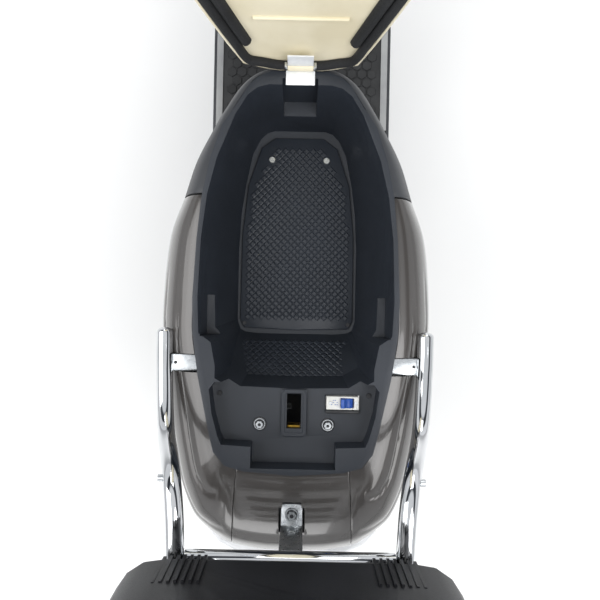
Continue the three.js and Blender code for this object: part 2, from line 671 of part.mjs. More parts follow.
// ---- stands and pegs ----
part('center_stand', 'frame_paint', join(
  rod([-126, ...STAND_PIVOT], [126, ...STAND_PIVOT], STAND_TUBE_R, 20),
  ...[1, -1].flatMap((side) => [
    rod([side * 120, ...STAND_PIVOT], [side * 150, STAND_PIVOT[0] + 11, 10], 10, 10),
    box(side * 134, side * 166, STAND_PIVOT[0] - 14, STAND_PIVOT[0] + 38, 0, 8),
    box(side * 142, side * 158, STAND_PIVOT[0], STAND_PIVOT[0] + 22, 6, 16),
  ]),
));
part('side_stand', 'frame_paint', cut(join(
  rod([-146, -110, 240], [-160, -110, 240], 14, 14),
  rod([-154, -112, 238], [-154, -290, 226], 7, 10),
  box(-166, -146, -306, -284, 219, 224),
  rod([-154, -290, 226], [-156, -296, 221], 7, 10),
), rod([-140, -110, 240], [-170, -110, 240], 7 + PIN_GAP, 12)));

// ---- wheels ----
const wall = (share) => mix(BEAD_R, TYRE_R, share);
const tyreProfile = [
  [BEAD_R, 27], [wall(0.425), 39.5], [wall(0.735), TYRE_HALF_WIDTH], [wall(0.942), 24], [TYRE_R, 0],
  [wall(0.942), -24], [wall(0.735), -TYRE_HALF_WIDTH], [wall(0.425), -39.5], [BEAD_R, -27],
  [wall(0.368), -31], [wall(0.828), -20], [wall(0.828), 20], [wall(0.368), 31],
];
const rimProfile = [
  [RIM_R, 34], [RIM_R, 37], [RIM_R - 20, 33], [RIM_R - 26, 0], [RIM_R - 20, -33], [RIM_R, -37], [RIM_R, -34],
  [RIM_R - 12, -28], [RIM_R - 20, -12], [RIM_R - 20, 12], [RIM_R - 12, 28],
];
function spokes(y, z, count, inner, half) {
  const made = [];
  for (let i = 0; i < count; i++) {
    const bar = across([
      [y - 8, z + RIM_R - 23], [y + 8, z + RIM_R - 23], [y + 11, z + inner], [y - 11, z + inner],
    ], -half, half);
    made.push(turned(bar, [0, y, z], [1, 0, 0], (360 / count) * i));
  }
  return made;
}
const WHEEL_SEGMENTS = 28;
part('front_tyre', 'tyre_rubber', wheelLathe(tyreProfile, FRONT_AXLE_Y, TYRE_R, WHEEL_SEGMENTS));
part('rear_tyre', 'tyre_rubber', wheelLathe(tyreProfile, REAR_AXLE_Y, REAR_AXLE_Z, WHEEL_SEGMENTS));
part('front_rim', 'alloy', cut(join(
  wheelLathe(rimProfile, FRONT_AXLE_Y, TYRE_R, WHEEL_SEGMENTS),
  rod([6 - DISC_X, FRONT_AXLE_Y, TYRE_R], [DISC_X - 6, FRONT_AXLE_Y, TYRE_R], 27, 20),
  ...spokes(FRONT_AXLE_Y, TYRE_R, 5, 20, 9),
), rod([-40, FRONT_AXLE_Y, TYRE_R], [40, FRONT_AXLE_Y, TYRE_R], 6 + PIN_GAP, 16)));
part('rear_rim', 'alloy', cut(join(
  wheelLathe(rimProfile, REAR_AXLE_Y, REAR_AXLE_Z, WHEEL_SEGMENTS),
  rod([-52, REAR_AXLE_Y, REAR_AXLE_Z], [52, REAR_AXLE_Y, REAR_AXLE_Z], 88, 32),
  rod([-62, REAR_AXLE_Y, REAR_AXLE_Z], [62, REAR_AXLE_Y, REAR_AXLE_Z], 30, 20),
  ...spokes(REAR_AXLE_Y, REAR_AXLE_Z, 5, 70, 10),
), rod([-70, REAR_AXLE_Y, REAR_AXLE_Z], [70, REAR_AXLE_Y, REAR_AXLE_Z], 8 + PIN_GAP, 12)));
part('front_disc', 'steel', cut(
  rod([-DISC_X - 2, FRONT_AXLE_Y, TYRE_R], [2 - DISC_X, FRONT_AXLE_Y, TYRE_R], 92, 36),
  rod([-DISC_X - 8, FRONT_AXLE_Y, TYRE_R], [6 - DISC_X, FRONT_AXLE_Y, TYRE_R], 8, 16),
));

// ---- fork and steering ----
const upright = (side, h) => [side * FORK_HALF_TRACK, FORK_OFFSET, h];
part('fork_crown', 'frame_paint', raked(join(
  rod([0, 0, -10], [0, 0, 470], 15, 16),
  raise([
    [-FORK_HALF_TRACK - 17, 36], [-FORK_HALF_TRACK - 21, 12], [-34, -28], [34, -28],
    [FORK_HALF_TRACK + 21, 12], [FORK_HALF_TRACK + 17, 36],
  ], -24, -4),
  ...[1, -1].map((side) => rod(upright(side, -10), upright(side, -250), 14, 16)),
)));
part('fork_lowers', 'black_plastic', raked(join(
  ...[1, -1].map((side) => cut(
    rod(upright(side, -150), upright(side, -FORK_DROP - 13.3), SLIDER_R, 16),
    rod(upright(side, -140), upright(side, -330), 14.8, 16),
  )),
  rod(upright(-1, -FORK_DROP), upright(1, -FORK_DROP), 6, 16),
)));
part('front_fender', 'grey_paint', skin((u, v) => {
  const a = THREE.MathUtils.degToRad(mix(24, 165, u));
  const w = (v - 0.5) * 2;
  const r = FRONT_FENDER_R - 16 * Math.max(0, Math.abs(w) - 0.6) / 0.4;
  return [w * (FORK_HALF_TRACK - SLIDER_R - 4), FRONT_AXLE_Y + r * Math.cos(a), TYRE_R + r * Math.sin(a)];
}, 12, 6, 3, -1));
part('front_caliper', 'black_plastic', cut(
  raked(box(-DISC_X - 16, 8 - DISC_X, -62, -8, 12.7 - FORK_DROP, 76.7 - FORK_DROP)),
  rod([-DISC_X - 5, FRONT_AXLE_Y, TYRE_R], [5 - DISC_X, FRONT_AXLE_Y, TYRE_R], 95, 36),
  raked(rod(upright(-1, 95 - FORK_DROP), upright(-1, -FORK_DROP - 25), SLIDER_R + GAP, 16)),
));

const BAR_HALF = [[60, 353, 1000], [130, 350, 1016], [205, 333.4, 1021.3], GRIP_IN, GRIP_OUT];
const BAR_LINE = [
  ...BAR_HALF.map(([x, y, z]) => [-x, y, z]).reverse(), [0, 353, 996], ...BAR_HALF,
];
part('handlebar', 'frame_paint', join(
  tube(BAR_LINE, BAR_R, 10, 16),
  cut(raked(rod([0, 0, 430], [0, 0, 487], 23, 16)), raked(rod([0, 0, 420], [0, 0, 471], 15 + GAP, 16))),
));
function gripAt(side, share) {
  const [x, y, z] = GRIP_IN.map((v, i) => mix(v, GRIP_OUT[i], share));
  return [side * x, y, z];
}
function grip(side) {
  const sleeve = rod(gripAt(side, 0.05), gripAt(side, 1.04), GRIP_R, 20);
  return cut(sleeve, rod(gripAt(side, -0.1), gripAt(side, 1.015), BAR_R + 0.6, 20));
}
part('throttle_grip', 'black_rubber', grip(1));
part('grip_left', 'black_rubber', grip(-1));
const LEVER_PIN = (side, z) => [side * 196, 372, z];
pair('control', 'black_plastic', (side) => cut(join(
  rod(gripAt(side, -0.33), gripAt(side, 0.02), 21, 16),
  box(side * 183, side * 209, 352, 382, 1006, 1012),
  box(side * 183, side * 209, 352, 382, 1030, 1036),
  rod(LEVER_PIN(side, 1010), LEVER_PIN(side, 1032), 4, 12),
  box(side * 183, side * 209, 340, 358, 1006, 1036),
  cut(
    rod([side * 196, 345, 1030], [side * 196, 345, 1054], 9, 14),
    rod([side * 196, 345, 1040], [side * 196, 345, 1056], 5.5, 12),
  ),
), tube(BAR_LINE, BAR_R + 0.6, 10, 16)));
pair('brake_lever', 'alloy', (side) => cut(join(
  rod(LEVER_PIN(side, 1013), LEVER_PIN(side, 1029), 9, 16),
  tube([
    [side * 196, 374, 1021], [side * 230, 382, 1021], [side * 290, 372, 1020], [side * 348, 362, 1019],
  ], 6, 6, 7),
), rod(LEVER_PIN(side, 1005), LEVER_PIN(side, 1037), 4 + PIN_GAP, 12)));
pair('mirror', 'black_plastic', (side) => join(
  rod([side * 196, 345, 1042], [side * 196, 345, 1062], 5, 12),
  tube([
    [side * 196, 345, 1058], [side * 205, 348, 1092], [side * 240, 350, 1135], [side * 278, 350, 1148],
  ], 5, 6, 6),
  ball([side * 285, 350, 1158], 62, 12, 40, 12, 6),
));

// ---- front bodywork ----
const SHIELD = [
  [305, 176, 350, 72], [380, 178, 366, 66], [480, 184, 385, 58], [580, 186, 392, 52], [680, 178, 390, 48],
  [760, 160, 384, 44], [830, 132, 372, 38], [868, 112, 362, 34],
];
function shieldPoint(u, z) {
  const [half, y, wrap] = table(SHIELD, z);
  const w = (u - 0.5) * 2;
  return [w * half, y + wrap * w * w, z];
}
const KEY_AT = [64, 386, 745];
part('leg_shield', 'dark_trim', cut(
  skin((u, v) => shieldPoint(u, mix(305, 868, v)), 6, 6, 4, -1),
  rod([KEY_AT[0], 340, KEY_AT[2]], [KEY_AT[0], 440, KEY_AT[2]], 14, 18),
));
part('ignition_barrel', 'steel', cut(
  rod([KEY_AT[0], 380, KEY_AT[2]], [KEY_AT[0], 412, KEY_AT[2]], 13, 18),
  box(KEY_AT[0] - 1.2, KEY_AT[0] + 1.2, 378, 386, KEY_AT[2] - 5, KEY_AT[2] + 5),
));
const NOSE = [
  [305, 176, 432, 42], [400, 178, 440, 48], [500, 184, 449, 52], [550, 185, 450, 60], [556, 185, 450, 225],
  [620, 184, 448, 232], [700, 175, 442, 205], [780, 154, 431, 158], [830, 132, 416, 118], [868, 112, 404, 88],
];
function nosePoint(u, z) {
  const [half, y, depth] = table(NOSE, z);
  const a = Math.PI * u;
  return [half * Math.cos(a), y + depth * Math.sin(a) ** 0.9, z];
}
part('front_fairing', 'grey_paint', skin((u, v) => nosePoint(u, mix(556, 868, v)), 12, 5, 4, 1));
part('splash_guard', 'black_plastic', skin((u, v) => nosePoint(u, mix(305, 545, v)), 8, 3, 4, 1));
part('handlebar_cowl', 'grey_paint', cut(
  ball([0, 384, 992], 152, 96, 74, 16, 8),
  ball([0, 384, 992], 145, 89, 67, 14, 8),
  rod([0, 384, 880], [0, 384, 945], 70, 20),
  rod([-180, 345, 1010], [180, 345, 1010], 30, 16),
  rod([0, 440, 992], [0, 520, 992], 56, 14),
));
part('headlight_lens', 'glass', ball([0, 462, 992], 54, 16, 54, 14, 6));

// ---- seat, drawn closed and then swung open ----
const SEAT = mirrored([
  [0, -15], [28, -15.5], [50, -22], [78, -35], [94, -85], [108, -135], [125, -200], [133, -260], [139, -340],
  [136, -430], [126, -500], [112, -550], [85, -585], [45, -600], [0, -606],
]);
function seatRing(inset, z, lift = 0) {
  return grown(SEAT, -inset).map(([x, y]) => [x, y, z - (lift * y) / 600]);
}
const opened = (solid) => turned(solid, [0, HINGE_Y, HINGE_Z], [1, 0, 0], -SEAT_OPEN_DEG);
const STRIKER_Z = 640;
part('hinge_bracket', 'zinc', join(
  rod([-20, HINGE_Y, HINGE_Z], [20, HINGE_Y, HINGE_Z], 3.5, 12),
  box(17.5, 21, HINGE_Y - 3.5, HINGE_Y + 3.5, RIM_Z + GAP, HINGE_Z + 4),
  box(-21, -17.5, HINGE_Y - 3.5, HINGE_Y + 3.5, RIM_Z + GAP, HINGE_Z + 4),
));
part('seat_pan', 'pan_plastic', opened(cut(join(
  cut(
    loft([seatRing(3, 707), seatRing(3, 720)]),
    loft([seatRing(6, 700), seatRing(6, 716)]),
  ),
  rod([-17, HINGE_Y, HINGE_Z], [17, HINGE_Y, HINGE_Z], 6.5, 14),
  box(-17, 17, HINGE_Y - 3, HINGE_Y + 3, HINGE_Z, 717),
  rod([0, -480, 718], [0, -480, STRIKER_Z], 3.5, 10),
  rod([0, -508, 718], [0, -508, STRIKER_Z], 3.5, 10),
  rod([0, -476.5, STRIKER_Z], [0, -511.5, STRIKER_Z], 3.5, 10),
), rod([-18, HINGE_Y, HINGE_Z], [18, HINGE_Y, HINGE_Z], 3.5 + PIN_GAP, 12))));
part('seat_cushion', 'seat_vinyl', opened(loft([
  seatRing(1, 720.4), seatRing(0, 730), seatRing(0, 752, 14), seatRing(6, 768, 20), seatRing(22, 778, 22),
])));

export default group;
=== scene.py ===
import json
import math

import bmesh
import bpy
from mathutils import Matrix, Vector

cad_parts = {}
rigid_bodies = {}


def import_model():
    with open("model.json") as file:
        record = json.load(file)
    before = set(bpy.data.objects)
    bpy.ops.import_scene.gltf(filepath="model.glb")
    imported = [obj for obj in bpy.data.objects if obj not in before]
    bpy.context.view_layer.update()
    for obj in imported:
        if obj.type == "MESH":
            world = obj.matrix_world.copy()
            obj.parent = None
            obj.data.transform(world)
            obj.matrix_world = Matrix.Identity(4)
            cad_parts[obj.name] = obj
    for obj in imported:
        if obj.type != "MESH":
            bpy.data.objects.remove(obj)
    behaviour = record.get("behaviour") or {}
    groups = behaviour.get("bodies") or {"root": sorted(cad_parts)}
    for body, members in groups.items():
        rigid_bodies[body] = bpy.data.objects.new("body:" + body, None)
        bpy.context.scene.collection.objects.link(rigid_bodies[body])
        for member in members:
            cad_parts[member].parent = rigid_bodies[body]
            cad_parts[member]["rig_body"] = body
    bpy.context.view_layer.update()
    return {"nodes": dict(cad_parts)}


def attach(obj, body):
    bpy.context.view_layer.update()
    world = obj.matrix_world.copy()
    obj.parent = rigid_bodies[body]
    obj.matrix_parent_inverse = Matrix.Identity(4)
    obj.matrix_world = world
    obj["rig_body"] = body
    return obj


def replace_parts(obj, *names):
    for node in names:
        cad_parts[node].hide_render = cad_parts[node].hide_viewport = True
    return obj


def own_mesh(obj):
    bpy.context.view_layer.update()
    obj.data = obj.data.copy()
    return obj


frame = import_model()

bl_info = {
    "name": "Electric Moped Scooter",
    "version": (1, 0, 0),
    "blender": (4, 5, 0),
    "location": "View3D > Sidebar > Scooter",
    "description": "Builds a step-through electric moped scooter with its seat swung open",
    "category": "Add Mesh",
}

MM = 0.001
CAMERA_X = 0.0054
CAMERA_Y = -0.34
CAMERA_TURN_DEG = 1.17
FLOOR_HALF = 30.0


# ---- sizes and colours that a user would change ----
class ScooterSizes(bpy.types.PropertyGroup):
    mat_cell: bpy.props.FloatProperty(
        name="Mat cell", description="Pitch of the hexagons on the floor mat", default=20 * MM, unit="LENGTH")
    pad_cell: bpy.props.FloatProperty(
        name="Diamond pitch", description="Pitch of the diamond studs in the bin", default=11 * MM, unit="LENGTH")
    spring_wire: bpy.props.FloatProperty(
        name="Spring wire", description="Radius of the damper spring wire", default=3.6 * MM, unit="LENGTH")
    spring_turns: bpy.props.IntProperty(name="Spring turns", description="Turns on each damper spring", default=9)
    camera_height: bpy.props.FloatProperty(
        name="Camera height", description="Height of the camera over the ground", default=1.49, unit="LENGTH")
    camera_lens: bpy.props.FloatProperty(name="Lens", description="Focal length", default=35.4, unit="CAMERA")


def hex_linear(text):
    """The linear RGBA of an sRGB hex value."""
    parts = [int(text[i:i + 2], 16) / 255 for i in (1, 3, 5)]
    return (*[v / 12.92 if v <= 0.04045 else ((v + 0.055) / 1.055) ** 2.4 for v in parts], 1.0)


class ScooterColours(bpy.types.PropertyGroup):
    body: bpy.props.FloatVectorProperty(
        name="Body paint", description="Painted side panels", subtype="COLOR", size=4, default=hex_linear("#4a4745"))
    tub: bpy.props.FloatVectorProperty(
        name="Storage bin", description="Moulded bin plastic", subtype="COLOR", size=4, default=hex_linear("#262b33"))
    trim: bpy.props.FloatVectorProperty(
        name="Trim", description="Dark front and side trim", subtype="COLOR", size=4, default=hex_linear("#3b3d41"))
    vinyl: bpy.props.FloatVectorProperty(
        name="Seat vinyl", description="Seat cover", subtype="COLOR", size=4, default=hex_linear("#2a2421"))


# ---- materials ----
MADE = {}


def add(tree, kind, links=(), **values):
    """Adds a node: values set its settings or inputs, links are (input, source socket)."""
    node = tree.nodes.new(kind)
    for key, value in values.items():
        if hasattr(node, key):
            setattr(node, key, value)
        else:
            node.inputs[key.replace("_", " ")].default_value = value
    for socket, source in links:
        tree.links.new(source, node.inputs[socket])
    return node


def finish_of(name, tint, shade, metallic, rough, grain_mm, depth_mm, coat=0.0, stretch=(1, 1, 1), cells=False,
              alpha=1.0, transmission=0.0, blotch_mm=60, sheen=0.0, rough_spread=0.08):
    """One finish: a slow drift between two tints, a surface grain of a real size, and uneven gloss."""
    if name in MADE:
        return MADE[name]
    material = bpy.data.materials.new(name)
    material.use_nodes = True
    tree = material.node_tree
    shader = tree.nodes["Principled BSDF"]
    place = add(tree, "ShaderNodeTexCoord")
    spread = add(tree, "ShaderNodeMapping", [("Vector", place.outputs["Object"])], Scale=stretch)
    drift = add(tree, "ShaderNodeTexNoise", [("Vector", spread.outputs[0])], Scale=1000 / blotch_mm, Detail=5.0)
    ramp = add(tree, "ShaderNodeMapRange", [("Value", drift.outputs[0])], From_Min=0.35, From_Max=0.65)
    colours = add(tree, "ShaderNodeMix", [("Factor", ramp.outputs[0])], data_type="RGBA")
    for socket in colours.inputs:
        if socket.type == "RGBA":
            socket.default_value = tint if socket.name == "A" else shade
    if cells:
        grain = add(tree, "ShaderNodeTexVoronoi", [("Vector", spread.outputs[0])], Scale=1000 / grain_mm)
    else:
        grain = add(tree, "ShaderNodeTexNoise", [("Vector", spread.outputs[0])], Scale=1000 / grain_mm, Detail=3.0)
    bump = add(tree, "ShaderNodeBump", [("Height", grain.outputs[0])], Strength=1.0, Distance=depth_mm * MM)
    gloss = add(tree, "ShaderNodeMapRange", [("Value", grain.outputs[0])],
                To_Min=max(rough - rough_spread, 0.02), To_Max=min(rough + rough_spread, 1.0))
    colour_out = next(s for s in colours.outputs if s.type == "RGBA")
    tree.links.new(colour_out, shader.inputs["Base Color"])
    tree.links.new(gloss.outputs[0], shader.inputs["Roughness"])
    tree.links.new(bump.outputs[0], shader.inputs["Normal"])
    shader.inputs["Metallic"].default_value = metallic
    shader.inputs["Coat Weight"].default_value = coat
    shader.inputs["Coat Roughness"].default_value = 0.05
    shader.inputs["Alpha"].default_value = alpha
    shader.inputs["Transmission Weight"].default_value = transmission
    shader.inputs["Sheen Weight"].default_value = sheen
    MADE[name] = material
    return material


def shade_of(colour, amount):
    """A colour made lighter or darker."""
    return (*[min(c * amount, 1.0) for c in colour[:3]], 1.0)


def finishes():
    """Every finish on the scooter, each after the real material."""
    if "sprayed_enamel" in MADE:
        return MADE
    colours = bpy.context.scene.scooter_colours
    body, tub, trim, vinyl = [tuple(c) for c in (colours.body, colours.tub, colours.trim, colours.vinyl)]
    h = hex_linear
    # Two-pack enamel over ABS: a deep wet gloss with the faint orange peel of a sprayed panel.
    finish_of("sprayed_enamel", body, shade_of(body, 0.9), 0.15, 0.24, 2.4, 0.012, coat=0.7, blotch_mm=200)
    # Polypropylene from a spark-eroded mould: an even fine leather-like grain that scatters light.
    finish_of("grained_polypropylene", tub, shade_of(tub, 0.84), 0.0, 0.5, 1.1, 0.07, cells=True, blotch_mm=45)
    finish_of("studded_polypropylene", shade_of(tub, 1.1), tub, 0.0, 0.42, 1.3, 0.05, cells=True)
    # Unpainted ABS trim: slightly rougher and lighter, with a dusty drift of tone.
    finish_of("grained_abs", trim, shade_of(trim, 0.82), 0.0, 0.46, 1.0, 0.05, cells=True, blotch_mm=70)
    finish_of("black_abs", h("#1b1c1f"), h("#222327"), 0.0, 0.42, 1.2, 0.05, cells=True, blotch_mm=50)
    # Chrome plate: a mirror whose fingermarks show only as uneven gloss.
    finish_of("chrome_plate", h("#e4e5e7"), h("#d2d4d6"), 1.0, 0.07, 30, 0.0, rough_spread=0.04)
    # Clear-passivated zinc: grey, faintly mottled.
    finish_of("zinc_plate", h("#d2d5d7"), h("#b9bdc0"), 1.0, 0.3, 3.0, 0.02, blotch_mm=8, rough_spread=0.12)
    # Hinge leaf painted near-white all over: a painted highlight that stands for the glare off bright nickel.
    finish_of("bright_strap", h("#f1f3f5"), h("#e4e7ea"), 0.15, 0.34, 2.0, 0.01, blotch_mm=12)
    # Turned or rolled steel with fine lines along its length.
    finish_of("brushed_steel", h("#a9abae"), h("#8c8f92"), 1.0, 0.3, 0.9, 0.01, stretch=(1, 8, 8), blotch_mm=20)
    # Cast aluminium alloy under silver lacquer.
    finish_of("lacquered_alloy", h("#7f8285"), h("#6d7073"), 0.85, 0.34, 1.6, 0.03, coat=0.4, blotch_mm=25)
    # Powder-coated tube: soft gloss with a fine pebble.
    finish_of("powder_coat", h("#1c1d20"), h("#26282b"), 0.1, 0.4, 1.8, 0.06, coat=0.1, blotch_mm=60)
    # Vulcanised tyre rubber, with dust in the texture.
    finish_of("tyre_rubber", h("#1c1c1d"), h("#2a2928"), 0.0, 0.78, 2.2, 0.12, blotch_mm=35)
    finish_of("mat_rubber", h("#1e1f20"), h("#2b2c2d"), 0.0, 0.6, 1.4, 0.05, blotch_mm=50)
    finish_of("side_band_rubber", h("#a8a9a8"), h("#98999a"), 0.0, 0.55, 1.2, 0.04, blotch_mm=40)
    finish_of("grip_rubber", h("#151516"), h("#202021"), 0.0, 0.7, 1.0, 0.08, blotch_mm=20)
    # Embossed upholstery vinyl: pebbled like hide, with a soft sheen.
    finish_of("embossed_vinyl", vinyl, shade_of(vinyl, 0.78), 0.0, 0.5, 1.9, 0.18,
              cells=True, blotch_mm=70, sheen=0.15)
    finish_of("hem_vinyl", h("#7d736b"), h("#6c635c"), 0.0, 0.55, 1.6, 0.1, cells=True, blotch_mm=40)
    # Natural moulded polypropylene seat base, cream and slightly waxy.
    finish_of("cream_polypropylene", h("#ece4cc"), h("#ddd3b6"), 0.0, 0.48, 3.0, 0.05, blotch_mm=90)
    finish_of("foam_strip", h("#17181a"), h("#232426"), 0.0, 0.9, 1.6, 0.3, cells=True)
    finish_of("brass", h("#b08d3c"), h("#93742c"), 1.0, 0.32, 1.4, 0.01, blotch_mm=8)
    finish_of("white_polyamide", h("#e9e9e5"), h("#dcdcd8"), 0.0, 0.4, 1.2, 0.02)
    finish_of("blue_polyamide", h("#2457b4"), h("#1d4ca2"), 0.0, 0.35, 1.2, 0.02)
    finish_of("clear_lamp_plastic", h("#e9eaec"), h("#dcdee0"), 0.0, 0.1, 6.0, 0.05, coat=0.6, blotch_mm=30)
    finish_of("red_lamp_plastic", h("#8d1014"), h("#76090d"), 0.0, 0.14, 5.0, 0.1, coat=0.6, cells=True)
    finish_of("amber_lamp_plastic", h("#c8660f"), h("#b1560a"), 0.0, 0.14, 4.0, 0.1, coat=0.6, cells=True)
    finish_of("headlamp_glass", h("#d8dde2"), h("#c4cbd2"), 0.35, 0.07, 9.0, 0.06, coat=1.0)
    finish_of("silvered_glass", h("#c9d0d6"), h("#bfc7ce"), 1.0, 0.03, 60, 0.0, rough_spread=0.015)
    finish_of("display_glass", h("#0c0e12"), h("#12161c"), 0.0, 0.08, 30, 0.0, coat=1.0)
    return MADE


# ---- meshes ----
def lay(name, verts, faces, finish, body, sharp_deg=35, recalc=True):
    """Makes a piece from points in metres, smooth but for its sharp edges, and rides it on a body."""
    mesh = bpy.data.meshes.new(name)
    mesh.from_pydata([tuple(v) for v in verts], [], faces)
    piece = bpy.data.objects.new(name, mesh)
    bpy.context.collection.objects.link(piece)
    if recalc:
        tidy_normals(mesh)
    soften(mesh, sharp_deg)
    mesh.materials.append(finishes()[finish])
    return settle(piece, body)


def tidy_normals(mesh):
    """Welds doubled points and turns every face outwards."""
    work = bmesh.new()
    work.from_mesh(mesh)
    bmesh.ops.remove_doubles(work, verts=work.verts, dist=1e-6)
    bmesh.ops.recalc_face_normals(work, faces=work.faces)
    work.to_mesh(mesh)
    work.free()


def soften(mesh, sharp_deg):
    """Shades smooth, but for edges sharper than an angle."""
    mesh.shade_smooth()
    mesh.set_sharp_from_angle(angle=math.radians(sharp_deg))


def bake_modifiers(piece):
    """Turns the piece's modifiers into plain mesh."""
    view = bpy.context.evaluated_depsgraph_get()
    done = bpy.data.meshes.new_from_object(piece.evaluated_get(view))
    piece.modifiers.clear()
    old = piece.data
    piece.data = done
    bpy.data.meshes.remove(old)


def round_edges(piece, width_mm, steps, sharp_deg):
    """Rounds the edges that turn by more than an angle."""
    bevel = piece.modifiers.new("round", "BEVEL")
    bevel.width = width_mm * MM
    bevel.segments = steps
    bevel.limit_method = "ANGLE"
    bevel.angle_limit = math.radians(sharp_deg)
    bake_modifiers(piece)


def settle(piece, body):
    """Rides a finished piece on its body."""
    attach(piece, body)
    return piece


def refined(node, finish, round_mm=0.8, sharp_deg=38, steps=2):
    """A finer copy of a CAD node: faces merged, edges rounded, curved walls smooth. Stands for the node."""
    source = frame["nodes"][node]
    mesh = source.data.copy()
    work = bmesh.new()
    work.from_mesh(mesh)
    bmesh.ops.remove_doubles(work, verts=work.verts, dist=2e-5)
    bmesh.ops.dissolve_degenerate(work, edges=work.edges, dist=1e-5)
    bmesh.ops.dissolve_limit(work, angle_limit=math.radians(0.6), verts=work.verts, edges=work.edges)
    work.to_mesh(mesh)
    work.free()
    mesh.name = node + "_fine"
    mesh.materials.clear()
    mesh.materials.append(finishes()[finish])
    piece = bpy.data.objects.new(node + "_fine", mesh)
    bpy.context.collection.objects.link(piece)
    if round_mm:
        round_edges(piece, round_mm, steps, sharp_deg)
    soften(piece.data, sharp_deg + 6)
    settle(piece, source["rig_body"])
    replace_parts(piece, node)
    return piece


def mix(a, b, t):
    """The value a share t of the way from a to b."""
    return a + (b - a) * t


def smooth_table(rows, key):
    """Catmull-Rom value between rows of (key, value...)."""
    if key <= rows[0][0]:
        return rows[0][1:]
    if key >= rows[-1][0]:
        return rows[-1][1:]
    i = next(k for k, row in enumerate(rows) if row[0] > key) - 1
    a, b = rows[i], rows[i + 1]
    t = (key - a[0]) / (b[0] - a[0])
    out = []
    for k in range(1, len(a)):
        before = rows[i - 1] if i else a
        after = rows[i + 2] if i + 2 < len(rows) else b
        span = b[0] - a[0]
        m0 = (b[k] - before[k]) / (b[0] - before[0]) * span
        m1 = (after[k] - a[k]) / (after[0] - a[0]) * span
        if i == 0:
            m0 = (b[k] - a[k])
        t2, t3 = t * t, t ** 3
        out.append((2 * t3 - 3 * t2 + 1) * a[k] + (t3 - 2 * t2 + t) * m0 + (3 * t2 - 2 * t3) * b[k] + (t3 - t2) * m1)
    return out


def skin(name, at, nu, nv, thickness, side, finish, body, sharp_deg=40):
    """A shell of even thickness under the surface at(u, v), in millimetres."""
    outer, inner = [], []
    for i in range(nu + 1):
        for j in range(nv + 1):
            u, v = i / nu, j / nv
            e = 0.004
            du = Vector(at(min(u + e, 1), v)) - Vector(at(max(u - e, 0), v))
            dv = Vector(at(u, min(v + e, 1))) - Vector(at(u, max(v - e, 0)))
            normal = du.cross(dv)
            normal.normalize()
            p = Vector(at(u, v))
            outer.append(p * MM)
            inner.append((p + normal * thickness * side) * MM)
    row = nv + 1
    n = len(outer)
    faces = []
    for i in range(nu):
        for j in range(nv):
            a = i * row + j
            faces.append((a, a + row, a + row + 1, a + 1))
            faces.append((n + a, n + a + 1, n + a + row + 1, n + a + row))
        lo = i * row
        hi = lo + nv
        faces.append((lo, n + lo, n + lo + row, lo + row))
        faces.append((hi, hi + row, n + hi + row, n + hi))
    for j in range(nv):
        last = nu * row + j
        faces.append((j, j + 1, n + j + 1, n + j))
        faces.append((last, n + last, n + last + 1, last + 1))
    piece = lay(name, outer + inner, faces, finish, body, sharp_deg)
    round_edges(piece, 1.0, 2, 50)
    soften(piece.data, sharp_deg)
    return piece


# ---- geometry nodes ----
def socket_id(tree, name):
    """The identifier of a tree input."""
    return next(item.identifier for item in tree.interface.items_tree if item.name == name)


def new_tree(name, inputs):
    """An empty tree with its inputs."""
    tree = bpy.data.node_groups.new(name, "GeometryNodeTree")
    tree.interface.new_socket("Geometry", in_out="INPUT", socket_type="NodeSocketGeometry")
    for label, kind in inputs:
        tree.interface.new_socket(label, in_out="INPUT", socket_type=kind)
    tree.interface.new_socket("Geometry", in_out="OUTPUT", socket_type="NodeSocketGeometry")
    return tree, add(tree, "NodeGroupInput"), add(tree, "NodeGroupOutput")


def end_tree(tree, made, given, result):
    """Ends a tree: what it made becomes real mesh with the finish that the tree was given."""
    real_mesh = add(tree, "GeometryNodeRealizeInstances", [("Geometry", made.outputs[0])])
    painted = add(tree, "GeometryNodeSetMaterial", [
        ("Geometry", real_mesh.outputs[0]), ("Material", given.outputs["Finish"])])
    tree.links.new(painted.outputs[0], result.inputs[0])
    return tree


def stud_tree():
    """A tapered stud, bolt head or block on every point, facing the point's own way."""
    if "studs" in bpy.data.node_groups:
        return bpy.data.node_groups["studs"]
    real = "NodeSocketFloat"
    tree, given, result = new_tree("studs", [
        ("Sides", "NodeSocketInt"), ("Foot radius", real), ("Top radius", real), ("Height", real),
        ("Twist", real), ("Stretch", "NodeSocketVector"), ("Finish", "NodeSocketMaterial")])
    stud = add(tree, "GeometryNodeMeshCone", [
        ("Vertices", given.outputs["Sides"]), ("Radius Bottom", given.outputs["Foot radius"]),
        ("Radius Top", given.outputs["Top radius"]), ("Depth", given.outputs["Height"])])
    twist = add(tree, "ShaderNodeCombineXYZ", [("Z", given.outputs["Twist"])])
    turned = add(tree, "GeometryNodeTransform", [("Geometry", stud.outputs["Mesh"]), ("Rotation", twist.outputs[0])])
    shaped = add(tree, "GeometryNodeTransform", [
        ("Geometry", turned.outputs[0]), ("Scale", given.outputs["Stretch"])])
    facing = add(tree, "GeometryNodeInputNamedAttribute", data_type="FLOAT_VECTOR", Name="facing")
    turn = add(tree, "FunctionNodeAlignRotationToVector", [("Vector", facing.outputs[0])], axis="Z")
    spread = add(tree, "GeometryNodeInstanceOnPoints", [
        ("Points", given.outputs["Geometry"]), ("Instance", shaped.outputs[0]), ("Rotation", turn.outputs[0])])
    return end_tree(tree, spread, given, result)


